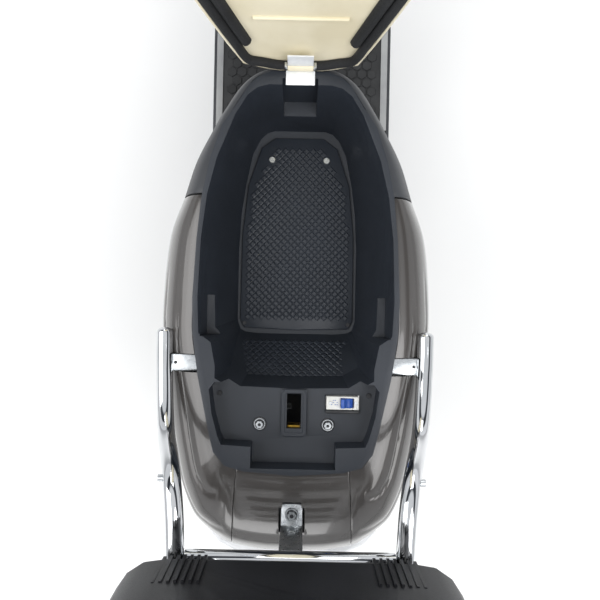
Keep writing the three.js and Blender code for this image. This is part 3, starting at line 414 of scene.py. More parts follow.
def tube_tree():
    """A round wire, cable or bead along the piece's own line."""
    if "tube_along" in bpy.data.node_groups:
        return bpy.data.node_groups["tube_along"]
    tree, given, result = new_tree("tube_along", [
        ("Radius", "NodeSocketFloat"), ("Sides", "NodeSocketInt"), ("Finish", "NodeSocketMaterial")])
    line = add(tree, "GeometryNodeMeshToCurve", [("Mesh", given.outputs["Geometry"])])
    ring = add(tree, "GeometryNodeCurvePrimitiveCircle", [
        ("Resolution", given.outputs["Sides"]), ("Radius", given.outputs["Radius"])])
    swept = add(tree, "GeometryNodeCurveToMesh", [
        ("Curve", line.outputs[0]), ("Profile Curve", ring.outputs[0])], Fill_Caps=True)
    return end_tree(tree, swept, given, result)


def run_tree(piece, tree, values, finish, body, sharp_deg=40):
    """Runs a tree on a piece and keeps its result as plain mesh."""
    modifier = piece.modifiers.new("made", "NODES")
    modifier.node_group = tree
    for name, value in {**values, "Finish": finishes()[finish]}.items():
        modifier[socket_id(tree, name)] = value
    bake_modifiers(piece)
    tidy_normals(piece.data)
    soften(piece.data, sharp_deg)
    return settle(piece, body)


def point_piece(name, points, facings=None, edges=()):
    """Loose points, with a facing each or joined in a line, for a tree to build on."""
    mesh = bpy.data.meshes.new(name)
    mesh.from_pydata([tuple(Vector(p) * MM) for p in points], list(edges), [])
    if facings:
        layer = mesh.attributes.new("facing", "FLOAT_VECTOR", "POINT")
        for k, facing in enumerate(facings):
            layer.data[k].vector = facing
    piece = bpy.data.objects.new(name, mesh)
    bpy.context.collection.objects.link(piece)
    return piece


def studs(name, points, facing, sides, foot_mm, top_mm, height_mm, finish, body, twist=0.0, stretch=(1, 1, 1)):
    """Studs, screws, ribs or bolts on points, all facing one way or each its own."""
    facings = facing if isinstance(facing, list) else [facing] * len(points)
    piece = point_piece(name, points, facings)
    return run_tree(piece, stud_tree(), {
        "Sides": sides, "Foot radius": foot_mm * MM, "Top radius": top_mm * MM, "Height": height_mm * MM,
        "Twist": twist, "Stretch": stretch}, finish, body, 30)


def wire(name, points, radius_mm, finish, body, sides=10, closed=False):
    """A round wire, bead or tube through points."""
    count = len(points)
    edges = [(i, i + 1) for i in range(count - 1)] + ([(count - 1, 0)] if closed else [])
    piece = point_piece(name, points, edges=edges)
    return run_tree(piece, tube_tree(), {
        "Radius": radius_mm * MM, "Sides": sides}, finish, body, 60)


def lathe(name, profile, centre, axis, finish, body, segments=64, sharp_deg=30):
    """Turns rows of (radius, along) in millimetres about an axis through centre. The profile closes on itself."""
    axis = Vector(axis).normalized()
    side = axis.orthogonal().normalized()
    other = axis.cross(side)
    verts, faces = [], []
    n = len(profile)
    for i in range(segments):
        a = 2 * math.pi * i / segments
        way = side * math.cos(a) + other * math.sin(a)
        for r, along in profile:
            verts.append((Vector(centre) + way * r + axis * along) * MM)
    for i in range(segments):
        j = (i + 1) % segments
        for k in range(n):
            m = (k + 1) % n
            faces.append((i * n + k, i * n + m, j * n + m, j * n + k))
    return lay(name, verts, faces, finish, body, sharp_deg)


def smooth_line(points, steps):
    """Points along a smooth line through the given ones."""
    rows = [(i, *p) for i, p in enumerate(points)]
    total = len(points) - 1
    return [tuple(smooth_table(rows, total * k / steps)) for k in range(steps + 1)]


# ---- body shape, in millimetres: station, widest X and Y, X and Y under the rim ----
PLAN = [
    (0, 0, -14, 0, -36), (1, 50, -20, 36, -36), (2, 85, -46, 60, -44), (3, 107, -78, 84, -78),
    (4, 122, -104, 99, -106), (5, 145, -148, 115, -150), (6, 162, -200, 126, -200), (7, 180, -251, 132, -250),
    (8, 188, -330, 136.6, -330), (9, 188, -400, 136.4, -400), (10, 178, -500, 115, -500),
    (11, 162, -585, 105, -540), (12, 152, -620, 101, -550), (13, 138, -650, 96, -558),
    (14, 120, -668, 90, -562), (15, 104, -680, 84, -565), (16, 85, -690, 76, -567),
    (17, 45, -697, 40, -571), (18, 0, -699, 0, -573),
]
SKIRT = [(0, 302), (5, 302), (6, 318), (8, 400), (10, 470), (12, 545), (16, 590), (18, 592)]
FALL = [(0, 0, 694), (0.15, 0.32, 689), (0.28, 0.62, 676), (0.4, 0.87, 656), (0.5, 1, 636)]
SHIELD = [
    (305, 176, 350, 72), (380, 178, 366, 66), (480, 184, 385, 58), (580, 186, 392, 52), (680, 178, 390, 48),
    (760, 160, 384, 44), (830, 132, 372, 38), (868, 112, 362, 34),
]
NOSE = [
    (556, 185, 450, 225), (620, 184, 448, 232), (700, 175, 442, 205), (780, 154, 431, 158), (830, 132, 416, 118),
    (868, 112, 404, 88),
]
SPLASH = [(305, 176, 432, 42), (400, 178, 440, 48), (500, 184, 449, 52), (545, 185, 450, 60)]
FRONT_AXLE = (0, 760, 215)
REAR_AXLE = (0, -540, 219)
CASE_BASE_Z = 813
SHELF_Z = 665
FLOOR_Z = 550
SHOCK_X = 118
SHOCK_FOOT = (-500, 237)
SHOCK_HEAD = (-450, 540)
# Row name, distance from the middle, radius, and lean outwards in radians.
TREAD_ROWS = (
    ("a", 0, 212.2, 0.0), ("b", 17, 210.6, 0.28), ("c", -17, 210.6, -0.28),
    ("d", 31, 201.8, 0.75), ("e", -31, 201.8, -0.75),
)
HEADLAMP_CENTRE = (0, 461, 992)
MIRROR_X = 285
MIRROR_Z = 1158
SEAT_HINGE = Vector((0, -30, 708))
SEAT_OPEN = math.radians(95)


def linear_table(rows, key):
    """Straight-line value between rows of (key, value...)."""
    if key <= rows[0][0]:
        return rows[0][1:]
    if key >= rows[-1][0]:
        return rows[-1][1:]
    i = next(k for k, row in enumerate(rows) if row[0] > key) - 1
    t = (key - rows[i][0]) / (rows[i + 1][0] - rows[i][0])
    return [mix(a, b, t) for a, b in zip(rows[i][1:], rows[i + 1][1:])]


def bump_between(value, low, high):
    """Rises from 0 to 1 and back between two values."""
    t = (value - low) / (high - low)
    return math.sin(math.pi * t) ** 0.5 if 0 < t < 1 else 0.0


def groove_depth(s, t):
    """The long teardrop grooves pressed into the side panels and the two creases round the tail."""
    depth = 0.0
    for middle, half, s0, s1 in ((0.21, 0.022, 8.2, 14.2), (0.40, 0.018, 7.6, 15.6), (0.62, 0.02, 7.0, 12.4)):
        path = middle + 0.07 * math.sin((s - s0) / (s1 - s0) * math.pi) - 0.03
        depth += 3.6 * bump_between(s, s0, s1) * math.exp(-((t - path) / half) ** 2)
    if s > 16:
        depth += 1.6 * math.exp(-((t - 0.37) / 0.014) ** 2) + 1.0 * math.exp(-((t - 0.07) / 0.012) ** 2)
    return depth


def body_point(s, t, grooves=0.0):
    """A point of the body skin: s runs from nose to tail and t from the rim down."""
    px, py, tx, ty = smooth_table(PLAN, s)
    z_low = smooth_table(SKIRT, s)[0]
    if t <= 0.5:
        f, z = smooth_table(FALL, t)
        x, y = mix(tx, px, f), mix(ty, py, f)
        if grooves:
            sink = groove_depth(s, t) * grooves
            z -= sink * 0.7
            x -= sink * 0.7 * (px - tx) / (abs(px - tx) + abs(py - ty) + 1)
        return (x, y, z)
    q = (t - 0.5) * 2
    inward = 40 * q * q + (groove_depth(s, t) * grooves if grooves else 0)
    reach = math.hypot(px, (py + 330) * 0.6) or 1
    pull = 0.6 if s > 11 else 1
    x = px * (1 - inward * pull / reach)
    y = py - (py + 330) * 0.6 * inward * pull / reach
    return (x, y, mix(636, z_low, q))


def block(low, high):
    """A working mesh of a box between two corners in millimetres."""
    work = bmesh.new()
    bmesh.ops.create_cube(work, size=1.0)
    for v in work.verts:
        v.co = Vector([mix(low[k], high[k], v.co[k] + 0.5) * MM for k in range(3)])
    return work


def bolt_stack(name, places, foot_z, layers):
    """Bolts made of layers of round or six-sided studs: name, lift, sides, radii, height and finish."""
    for layer, lift, sides, foot, top, height, finish in layers:
        points = [(x, y, foot_z + lift) for x, y in places]
        studs(f"{name}_{layer}", points, (0, 0, 1), sides, foot, top, height, finish, "chassis")


def cut_with_box(piece, low, high):
    """Cuts a box out of a piece."""
    work = block(low, high)
    mesh = bpy.data.meshes.new("cutter")
    work.to_mesh(mesh)
    work.free()
    cutter = bpy.data.objects.new("cutter", mesh)
    bpy.context.collection.objects.link(cutter)
    boolean = piece.modifiers.new("cut", "BOOLEAN")
    boolean.operation = "DIFFERENCE"
    boolean.object = cutter
    boolean.solver = "EXACT"
    bake_modifiers(piece)
    bpy.data.objects.remove(cutter)
    soften(piece.data, 40)


def opened(x, y, z):
    """A point of the seat, from its place when the seat is shut."""
    p = Matrix.Rotation(-SEAT_OPEN, 3, "X") @ (Vector((x, y, z)) - SEAT_HINGE) + SEAT_HINGE
    return tuple(p)


class Base:
    bl_options = {"REGISTER", "UNDO"}


class SCOOTER_OT_stage(Base, bpy.types.Operator):
    """Camera over the storage bin, pale floor and soft studio light"""
    bl_idname = "scooter.stage"
    bl_label = "Stage"

    def execute(self, context):
        sizes = context.scene.scooter_sizes
        camera_data = bpy.data.cameras.new("camera")
        camera_data.lens = sizes.camera_lens
        camera_data.sensor_width = 36
        camera_data.clip_start = 0.02
        camera = bpy.data.objects.new("camera", camera_data)
        camera.location = (CAMERA_X, CAMERA_Y, sizes.camera_height)
        camera.rotation_euler = (0, 0, math.radians(CAMERA_TURN_DEG))
        context.collection.objects.link(camera)
        context.scene.camera = camera
        floor_mesh = bpy.data.meshes.new("floor")
        half = FLOOR_HALF
        corners = [(-half, -half, 0), (half, -half, 0), (half, half, 0), (-half, half, 0)]
        floor_mesh.from_pydata(corners, [], [(0, 1, 2, 3)])
        floor = bpy.data.objects.new("floor", floor_mesh)
        context.collection.objects.link(floor)
        # Matt painted board: pale, with the slightest drift of tone.
        floor_mesh.materials.append(finish_of("painted_board", hex_linear("#f4f4f3"), hex_linear("#f0f0ef"),
                                              0.0, 0.8, 4.0, 0.02, blotch_mm=900))
        for name, place, size, power in (
                ("key", (1.4, -1.6, 3.0), 2.2, 62), ("fill", (-1.8, -0.6, 2.6), 2.2, 44),
                ("front", (0.3, 2.6, 2.4), 2.0, 38), ("back", (-0.4, -3.0, 1.6), 1.6, 24)):
            light_data = bpy.data.lights.new(name, "AREA")
            light_data.size = size
            light_data.energy = power
            light = bpy.data.objects.new(name, light_data)
            light.location = place
            aim = Vector((0, -0.1, 0.55)) - Vector(place)
            light.rotation_euler = aim.to_track_quat("-Z", "Y").to_euler()
            context.collection.objects.link(light)
        world = bpy.data.worlds.new("studio")
        world.use_nodes = True
        tree = world.node_tree
        sky = tree.nodes["Background"]
        # A pale room with a darker belt high on its walls, which draws the dark lines along polished tube.
        place = add(tree, "ShaderNodeTexCoord")
        parts = add(tree, "ShaderNodeSeparateXYZ", [("Vector", place.outputs["Generated"])])
        belt = add(tree, "ShaderNodeValToRGB", [("Fac", parts.outputs["Z"])])
        shades = ((0.0, "#f2f4f7"), (0.42, "#eef0f3"), (0.48, "#34373c"), (0.7, "#44474d"), (0.78, "#f2f4f7"))
        for k, (at, shade) in enumerate(shades):
            stop = belt.color_ramp.elements[k] if k < 2 else belt.color_ramp.elements.new(at)
            stop.position = at
            stop.color = hex_linear(shade)
        tree.links.new(belt.outputs["Color"], sky.inputs["Color"])
        sky.inputs["Strength"].default_value = 0.9
        context.scene.world = world
        context.scene.view_settings.view_transform = "Standard"
        return {"FINISHED"}


class SCOOTER_OT_bodywork(Base, bpy.types.Operator):
    """Painted side panels, tail, front cover, leg shield and nose"""
    bl_idname = "scooter.bodywork"
    bl_label = "Bodywork"

    def execute(self, context):
        for side, word in ((1, "right"), (-1, "left")):
            def at(u, v, side=side):
                x, y, z = body_point(mix(6.02, 15.99, u), v, 1.0)
                return (side * x, y, z)
            panel = skin(f"side_panel_{word}_shell", at, 90, 60, 3, side, "sprayed_enamel", "chassis")
            low, high = sorted((side * 110, side * 172))
            cut_with_box(panel, (low, -440.5, 678), (high, -415.5, 700))
            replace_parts(panel, f"side_panel_{word}")
            seam = []
            for k in range(25):
                x, y, z = body_point(16, mix(0.02, 0.98, k / 24))
                seam.append((side * x * 0.975, y * 0.995, z - 3.6 if k < 12 else z))
            wire(f"tail_seam_gasket_{word}", seam, 2.6, "black_abs", "chassis", 8)

        def cover(u, v):
            s = abs(u - 0.5) * 2 * 5.97
            x, y, z = body_point(s, v)
            return ((1 if u < 0.5 else -1) * x, y, z)
        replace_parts(skin("front_cover_shell", cover, 72, 32, 3, -1, "grained_abs", "chassis"), "front_cover")

        def tail(u, v):
            s = 18 - abs(u - 0.5) * 2 * 1.99
            x, y, z = body_point(s, v, 1.0)
            return ((1 if u < 0.5 else -1) * x, y, z)
        tail_piece = skin("tail_panel_shell", tail, 40, 44, 3, 1, "sprayed_enamel", "chassis")
        cut_with_box(tail_piece, (-18.5, -662, 655), (18.5, -622, 720))
        cut_with_box(tail_piece, (-13, -640, 655), (13, -614, 720))
        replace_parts(tail_piece, "tail_panel")
        # Rolled edge round the bracket's pocket, and the pocket's dark floor.
        arch = [(-19.5, -664, 671)] + [(-19.5, -650 + 7 * k, 676.5 + 0.9 * k) for k in range(4)]
        arch_turns = [math.pi * k / 8 for k in range(1, 8)]
        arch += [(-19.5 * math.cos(t), -628 + 15 * math.sin(t), 679.5) for t in arch_turns]
        arch += [(-x, y, z) for x, y, z in arch[:5][::-1]]
        wire("bracket_pocket_edge", arch, 2.4, "sprayed_enamel", "chassis", 10)
        box_piece("bracket_pocket_floor", (-21, -664, 664), (21, -611, 667), "black_abs", "chassis", 1.0)

        def shield(u, v):
            z = mix(305, 868, v)
            half, y, wrap = smooth_table(SHIELD, z)
            w = (u - 0.5) * 2
            rib = 1.6 * math.exp(-((abs(w) - 0.62) / 0.05) ** 2)
            return (w * half, y + wrap * w * w + rib, z)
        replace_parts(skin("leg_shield_shell", shield, 48, 56, 4, -1, "grained_abs", "chassis"), "leg_shield")

        def nose_on(rows, z0, z1):
            def at(u, v):
                z = mix(z0, z1, v)
                half, y, depth = smooth_table(rows, z)
                a = math.pi * u
                return (half * math.cos(a), y + depth * math.sin(a) ** 0.9, z)
            return at
        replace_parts(skin("front_fairing_shell", nose_on(NOSE, 556, 868), 72, 44, 4, 1, "sprayed_enamel", "chassis"),
                    "front_fairing")
        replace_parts(skin("splash_guard_shell", nose_on(SPLASH, 305, 545), 48, 24, 4, 1, "black_abs", "chassis"),
                    "splash_guard")
        # Shallow teardrop indicator lamps let into the nose.
        for side, word in ((1, "right"), (-1, "left")):
            rings = []
            for k in range(9):
                share = k / 8
                x = side * mix(96, 150, share)
                z = mix(700, 762, share)
                half, y, depth = smooth_table(NOSE, z)
                a = math.acos(min(abs(x) / half, 1))
                rings.append((x, y + depth * math.sin(a) ** 0.9 + 0.5, z))
            wire(f"indicator_front_{word}", rings, 8, "amber_lamp_plastic", "chassis", 14)
        return {"FINISHED"}


class SCOOTER_OT_bin(Base, bpy.types.Operator):
    """Storage bin with its studded floor, shelf fittings, breaker and seat lock"""
    bl_idname = "scooter.bin"
    bl_label = "Storage bin"

    def execute(self, context):
        sizes = context.scene.scooter_sizes
        refined("storage_bin", "grained_polypropylene", 1.8, 24, 3)
        refined("battery_cover", "studded_polypropylene", 1.2)
        refined("circuit_breaker", "white_polyamide", 0.6)
        refined("breaker_toggle", "blue_polyamide", 0.5)
        refined("seat_lock_hook", "brushed_steel", 0.4)
        refined("hinge_bracket", "zinc_plate", 0.4)
        pitch = sizes.pad_cell / MM
        pads, tilted = [], []
        step = pitch / 2
        for j in range(int(272 / step)):
            y = -104 - j * step
            half = linear_table([(98, 36), (160, 70), (240, 79), (385, 79)], -y)[0]
            for i in range(-9, 10):
                x = (i + (j % 2) * 0.5) * pitch
                if abs(x) < half and math.hypot(abs(x) - 43, y + 119) > 9:
                    pads.append((x, y, FLOOR_Z + 4.3))
        studs("battery_cover_studs", pads, (0, 0, 1), 4, pitch * 0.48, pitch * 0.3, 0.9,
              "studded_polypropylene", "chassis")
        for j in range(11):
            share = (j + 0.5) / 11
            y, z = mix(-404, -453, share), mix(571, 620, share)
            half = mix(90, 96, share)
            for i in range(-9, 10):
                x = (i + (j % 2) * 0.5) * pitch
                if abs(x) < half:
                    tilted.append((x, y + 0.6, z + 0.6))
        studs("slope_studs", tilted, (0, 0.73, 0.69), 4, pitch * 0.5, pitch * 0.3, 1.3,
              "studded_polypropylene", "chassis")
        screws = [(s * 43, -119, FLOOR_Z + 4) for s in (1, -1)]
        studs("cover_screws", screws, (0, 0, 1), 20, 5.6, 4.6, 2.4, "zinc_plate", "chassis")
        wells = [(s * 82, -378, FLOOR_Z + 4) for s in (1, -1)]
        studs("cover_screw_wells", wells, (0, 0, 1), 20, 3.4, 3.0, 0.8, "black_abs", "chassis")
        # Flange bolts: the thin black grooves ring between washer and head is a painted shadow, and the black sockets
        # disc on the head is painted shade in its socket.
        bolt_stack("flange_bolt", [(s * 47.5, -514) for s in (1, -1)], SHELF_Z, (
                ("seat", 0, 28, 10, 9.4, 0.5, "black_abs"), ("washers", 0.4, 28, 8.8, 7.8, 1.8, "zinc_plate"),
                ("grooves", 2.1, 28, 6.9, 6.9, 0.3, "black_abs"), ("heads", 2.2, 6, 5.6, 5.2, 5, "zinc_plate"),
                ("sockets", 7.2, 6, 2.4, 2.2, 0.3, "black_abs")))
        wells = [(s * 104, -472, SHELF_Z + 0.5) for s in (1, -1)]
        studs("shelf_screw_wells", wells, (0, 0, 1), 20, 3.6, 3.2, 0.8, "black_abs", "chassis")
        terminals = [(x, -482, 672.4) for x in (50, 86)]
        studs("breaker_screws", terminals, (0, 0, 1), 16, 2.4, 2.2, 0.8, "zinc_plate", "chassis")
        marks = [(52 + 2.6 * i, -478 - 3 * j, 672.25) for i in range(4) for j in range(3) if (i + j) % 3]
        studs("breaker_marks", marks, (0, 0, 1), 4, 1.0, 0.9, 0.3, "blue_polyamide", "chassis", stretch=(1.3, 0.5, 1))
        box_piece("breaker_shroud", (44.2, -497, 665.2), (90.8, -492.2, 670), "black_abs", "chassis", 0.8)
        rings = []
        for grow, z in ((0, 665), (0, 668.4), (-1.2, 669.6), (-5.6, 669.6), (-6.8, 668.2), (-6.8, 665)):
            rings.append(rounded_box((-18.5, -531), (18.5, -464), 9, grow, z))
        rings_to_piece("lock_slot_surround", rings, "grained_polypropylene", "chassis", 40, True)
        box_piece("lock_plate", (-9, -521, 640), (9, -516, 661), "brass", "chassis", 0.6)
        box_piece("lock_side_plate", (-15, -520, 636), (-11, -470, 661.4), "brass", "chassis", 0.6)
        return {"FINISHED"}


def box_piece(name, low, high, finish, body, round_mm):
    """A small plate or block with rounded edges."""
    work = block(low, high)
    bmesh.ops.bevel(work, geom=work.edges[:], offset=round_mm * MM, segments=2, affect="EDGES", profile=0.5)
    mesh = bpy.data.meshes.new(name)
    work.to_mesh(mesh)
    work.free()
    soften(mesh, 40)
    mesh.materials.append(finishes()[finish])
    piece = bpy.data.objects.new(name, mesh)
    bpy.context.collection.objects.link(piece)
    return settle(piece, body)


SEAT = [
    (0, -15), (28, -15.5), (50, -22), (78, -35), (94, -85), (108, -135), (125, -200), (133, -260), (139, -340),
    (136, -430), (126, -500), (112, -550), (85, -585), (45, -600), (0, -606),
]


def seat_line(inset, z, count=120):
    """Points round the shut seat, drawn in from its edge."""
    rows = [(i, x, y) for i, (x, y) in enumerate(SEAT)]
    half = [smooth_table(rows, (len(SEAT) - 1) * k / count) for k in range(count + 1)]
    ring = [(x, y) for x, y in half] + [(-x, y) for x, y in reversed(half[1:-1])]
    out = []
    n = len(ring)
    for k in range(n):
        ax, ay = ring[k - 1]
        bx, by = ring[(k + 1) % n]
        length = math.hypot(bx - ax, by - ay) or 1
        x, y = ring[k]
        out.append((x + inset * (by - ay) / length, y - inset * (bx - ax) / length, z))
    return out


def rounded_box(low, high, corner, grow, z):
    """Points round a rectangle with rounded corners."""
    out = []
    for turn, (x, y) in enumerate(((high[0], high[1]), (low[0], high[1]), (low[0], low[1]), (high[0], low[1]))):
        sx, sy = (1 if x == high[0] else -1), (1 if y == high[1] else -1)
        for k in range(7):
            a = math.radians(turn * 90 + k * 15)
            r = corner + grow
            out.append((x - sx * corner + r * math.cos(a), y - sy * corner + r * math.sin(a), z))
    return out


def rings_to_piece(name, rings, finish, body, sharp_deg=40, hollow=False):
    """Joins rings of points into one closed form. The first and last are filled, or joined when it's hollow."""
    n = len(rings[0])
    verts = [Vector(p) * MM for ring in rings for p in ring]
    faces = []
    for r in range(len(rings) - 1):
        for i in range(n):
            j = (i + 1) % n
            faces.append((r * n + i, r * n + j, (r + 1) * n + j, (r + 1) * n + i))
    last = (len(rings) - 1) * n
    if hollow:
        faces += [(last + i, last + (i + 1) % n, (i + 1) % n, i) for i in range(n)]
    else:
        faces.append(tuple(range(n)))
        faces.append(tuple(last + i for i in reversed(range(n))))
    return lay(name, verts, faces, finish, body, sharp_deg)


class SCOOTER_OT_seat(Base, bpy.types.Operator):
    """Seat base, cushion, piping and hinge strap"""
    bl_idname = "scooter.seat"
    bl_label = "Seat"

    def execute(self, context):
        refined("seat_pan", "cream_polypropylene", 1.0, 30, 2)

        def lift(y):
            return -y / 600

        rings = []
        for inset, z, rise in ((7, 721.5, 0), (3, 724, 0), (2, 732, 3), (3, 750, 12), (8, 764, 18)):
            rings.append([(x, y, zz + rise * lift(y)) for x, y, zz in seat_line(inset, z, 48)])
        top = rings[-1]
        for share, rise in ((0.12, 6), (0.3, 10), (0.55, 12), (0.8, 13)):
            rings.append([(x * (1 - share), y * (1 - share) - 310 * share, z + rise) for x, y, z in top])
        cushion = rings_to_piece("seat_cushion_cover", rings, "embossed_vinyl", "seat", 70)
        self.inflate(cushion)
        for v in cushion.data.vertices:
            x, y, z = v.co / MM
            # A sewn step between the rider's and the passenger's places, and a channel along each flank.
            step = 5.0 * math.exp(-((y + 330) / 14) ** 2) * (1 if z > 740 else 0)
            flank = 2.2 * math.exp(-((abs(x) - 84) / 5) ** 2) * (1 if z > 752 else 0)
            z = max(z - step - flank, 720.8)
            v.co = Vector(opened(x, y, z)) * MM
        soften(cushion.data, 80)
        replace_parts(cushion, "seat_cushion")
        hem = [opened(*p) for p in seat_line(2.6, 716, 70)]
        wire("seat_hem", hem, 4.4, "hem_vinyl", "seat", 12, True)
        band = [opened(*p) for p in seat_line(11.5, 710.5, 70)]
        wire("seat_edge_band", band, 6.0, "foam_strip", "seat", 12, True)
        piping = [opened(x, y, z + 14 * lift(y)) for x, y, z in seat_line(0.5, 756, 70)]
        wire("seat_piping", piping, 2.0, "embossed_vinyl", "seat", 8, True)
        for side, word in ((1, "right"), (-1, "left")):
            strip = [opened(x, y, 714) for x, y, z in seat_line(24, 714, 48) if x * side > 8 and y < -72]
            if side < 0:
                strip = strip[::-1]
            wire(f"foam_strip_{word}", strip, 7, "foam_strip", "seat", 10)
        for k, half in enumerate((56, 84, 92, 86, 64)):
            y = -130 - 92 * k
            wire(f"pan_rib_{k}", [opened(x, y, 715) for x in (-half, -half / 2, 0, half / 2, half)], 2.6,
                 "cream_polypropylene", "seat", 10)
        # Both hinge leaves carry the near-white painted highlight of bright nickel.
        box_piece("hinge_leaf_fixed", (-19.4, -53, 700.3), (19.4, -33.8, 702.4), "bright_strap", "chassis", 0.5)
        leaf = box_piece("hinge_leaf_seat", (-17, -62, 704.4), (17, -37, 706.4), "bright_strap", "seat", 0.5)
        for v in leaf.data.vertices:
            v.co = Vector(opened(*(v.co / MM))) * MM
        return {"FINISHED"}

    @staticmethod
    def inflate(piece):
        """Fills the cover with air so its faces crown and its edges draw in, then holds it to its size."""
        piece.modifiers.clear()
        remesh = piece.modifiers.new("even", "REMESH")
        remesh.mode = "VOXEL"
        remesh.voxel_size = 6 * MM
        bake_modifiers(piece)
        start = [v.co.copy() for v in piece.data.vertices]
        held = piece.vertex_groups.new(name="held")
        held.add([i for i, co in enumerate(start) if co.z < 0.7245], 1.0, "REPLACE")
        cloth = piece.modifiers.new("cloth", "CLOTH")
        cloth.settings.use_pressure = True
        cloth.settings.uniform_pressure_force = 4.0
        cloth.settings.vertex_group_mass = "held"
        cloth.settings.effector_weights.gravity = 0
        cloth.point_cache.frame_start = 1
        cloth.point_cache.frame_end = 20
        scene = bpy.context.scene
        for number in range(1, 21):
            scene.frame_set(number)
            piece.evaluated_get(bpy.context.evaluated_depsgraph_get())
        bake_modifiers(piece)
        scene.frame_set(1)
        most = 8 * MM
        for v, first in zip(piece.data.vertices, start):
            move = v.co - first
            if move.length > most:
                v.co = first + move.normalized() * most
        smooth = piece.modifiers.new("finer", "SUBSURF")
        smooth.levels = 1
        smooth.render_levels = 1
        bake_modifiers(piece)


class SCOOTER_OT_rails(Base, bpy.types.Operator):
    """Chrome grab rails, rack, tail bracket and their fasteners"""
    bl_idname = "scooter.rails"
    bl_label = "Rails and rack"

    def execute(self, context):
        for side, word in ((1, "right"), (-1, "left")):
            path = smooth_line([
                (side * 178, -388, 684), (side * 176, -440, 690), (side * 167, -511, 715), (side * 143, -560, 786),
                (side * 135, -632, 800), (side * 133, -780, 800), (side * 130, -940, 800)], 90)
            rail = wire(f"grab_rail_{word}_tube", path, 11, "chrome_plate", "chassis", 32)
            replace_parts(rail, f"grab_rail_{word}")
            cap = []
            for k in range(7):
                a = math.pi / 2 * k / 6
                cap.append((11 * math.cos(a) if k < 6 else 0.0, 7 * math.sin(a)))
            cap.append((0.0, -2.0))
            cap.append((11.0, -2.0))
            lathe(f"grab_rail_{word}_end", cap[::-1], (side * 178, -387.5, 684), (0, 1, -0.1),
                  "chrome_plate", "chassis", 32)
            low, high = sorted((side * 121, side * 172))
            box_piece(f"rail_strap_{word}", (low, -439.5, 683), (high, -416.5, 687.4), "zinc_plate", "chassis", 1.4)
            studs(f"rail_strap_pin_{word}", [(side * 162, -428, 687.2)], (0, 0, 1),
                  20, 2.4, 2.2, 0.5, "black_abs", "chassis")
            studs(f"rail_side_bolt_{word}", [(side * 152, -556, 784)], (side, 0, 0),
                  20, 4.6, 4.2, 8, "zinc_plate", "chassis")
        refined("rack_plate", "chrome_plate", 0.8, 30)
        refined("tail_bracket", "zinc_plate", 0.8, 30)
        # Bracket bolt: the thin black ring between washer and head is a painted shadow, and the black hollow disc on
        # the head is painted shade in its recess.
        bolt_stack("bracket_bolt", [(0, -635)], 680, (
                ("washer", 0, 32, 9.6, 9.0, 1.6, "zinc_plate"), ("shadow_ring", 1.4, 32, 7.2, 7.2, 0.4, "black_abs"),
                ("head", 1.6, 6, 6.4, 6.0, 5, "zinc_plate"), ("hollow", 6.6, 24, 2.8, 2.6, 0.3, "black_abs")))
        posts = [(x, y, 805) for x in (-104, 104) for y in (-680, -860)]
        studs("rack_bolts", posts, (0, 0, 1), 6, 6, 5.6, 4, "zinc_plate", "chassis")
        return {"FINISHED"}


class SCOOTER_OT_case(Base, bpy.types.Operator):
    """Rear top case with its lid, ribs, reflector and lock"""
    bl_idname = "scooter.top_case"
    bl_label = "Top case"

    def execute(self, context):
        base = refined("top_case_base", "black_abs", 2.0, 30, 3)
        for v in base.data.vertices:
            # The lower edge stands out nearly as far as the seam.
            drop = max(0.0, 1 - (v.co.z / MM - CASE_BASE_Z) / 30)
            v.co.x += 7 * MM * drop * (v.co.x > 0.15) - 7 * MM * drop * (v.co.x < -0.15)
            v.co.y += 12 * MM * drop * (v.co.y > -0.7)
        refined("top_case_lid", "black_abs", 2.4, 30, 3)
        refined("top_case_latch", "chrome_plate", 1.2)
        for side, word in ((1, "right"), (-1, "left")):
            ribs = [(side * mix(96, 143, k / 6), -639.5 - max(0, k - 3) * 0.9, CASE_BASE_Z + 1) for k in range(7)]
            studs(f"case_front_ribs_{word}", ribs, (0, 0, 1), 4, 2.5, 2.1, 60, "black_abs", "chassis",
                  twist=math.pi / 4, stretch=(1.0, 3.2, 1.0))
            side_ribs = [(side * 199.6, -720 - 24 * k, 850) for k in range(8)]
            studs(f"case_side_ribs_{word}", side_ribs, (0, 0, 1), 4, 2.6, 2.2, 70, "black_abs", "chassis",
                  twist=math.pi / 4, stretch=(0.9, 1.4, 1.0))
        box_piece("case_reflector", (-70, -970.6, 880), (70, -966, 904), "red_lamp_plastic", "chassis", 1.5)
        band = []
        for sx, sy in ((1, 1), (-1, 1), (-1, -1), (1, -1)):
            cx, cy = sx * 140, -804 + sy * 104
            start = {(1, 1): 0, (-1, 1): 90, (-1, -1): 180, (1, -1): 270}[(sx, sy)]
            for k in range(9):
                a = math.radians(start + k * 11.25)
                band.append((cx + 60.6 * math.cos(a), cy + 60.6 * math.sin(a), 946))
        wire("case_seam_bead", band, 1.8, "black_abs", "chassis", 8, True)
        return {"FINISHED"}


TYRE_PROFILE = [
    (128, 27), (134, 31.5), (146, 35.8), (165, 39.2), (182, 40), (194, 38.6), (203, 33.5), (209, 26), (213, 15),
    (214.6, 5), (214.6, -5), (213, -15), (209, -26), (203, -33.5), (194, -38.6), (182, -40), (165, -39.2),
    (146, -35.8),
    (134, -31.5), (128, -27), (150, -30), (185, -31), (200, -20), (203, 0), (200, 20), (185, 31), (150, 30),
]


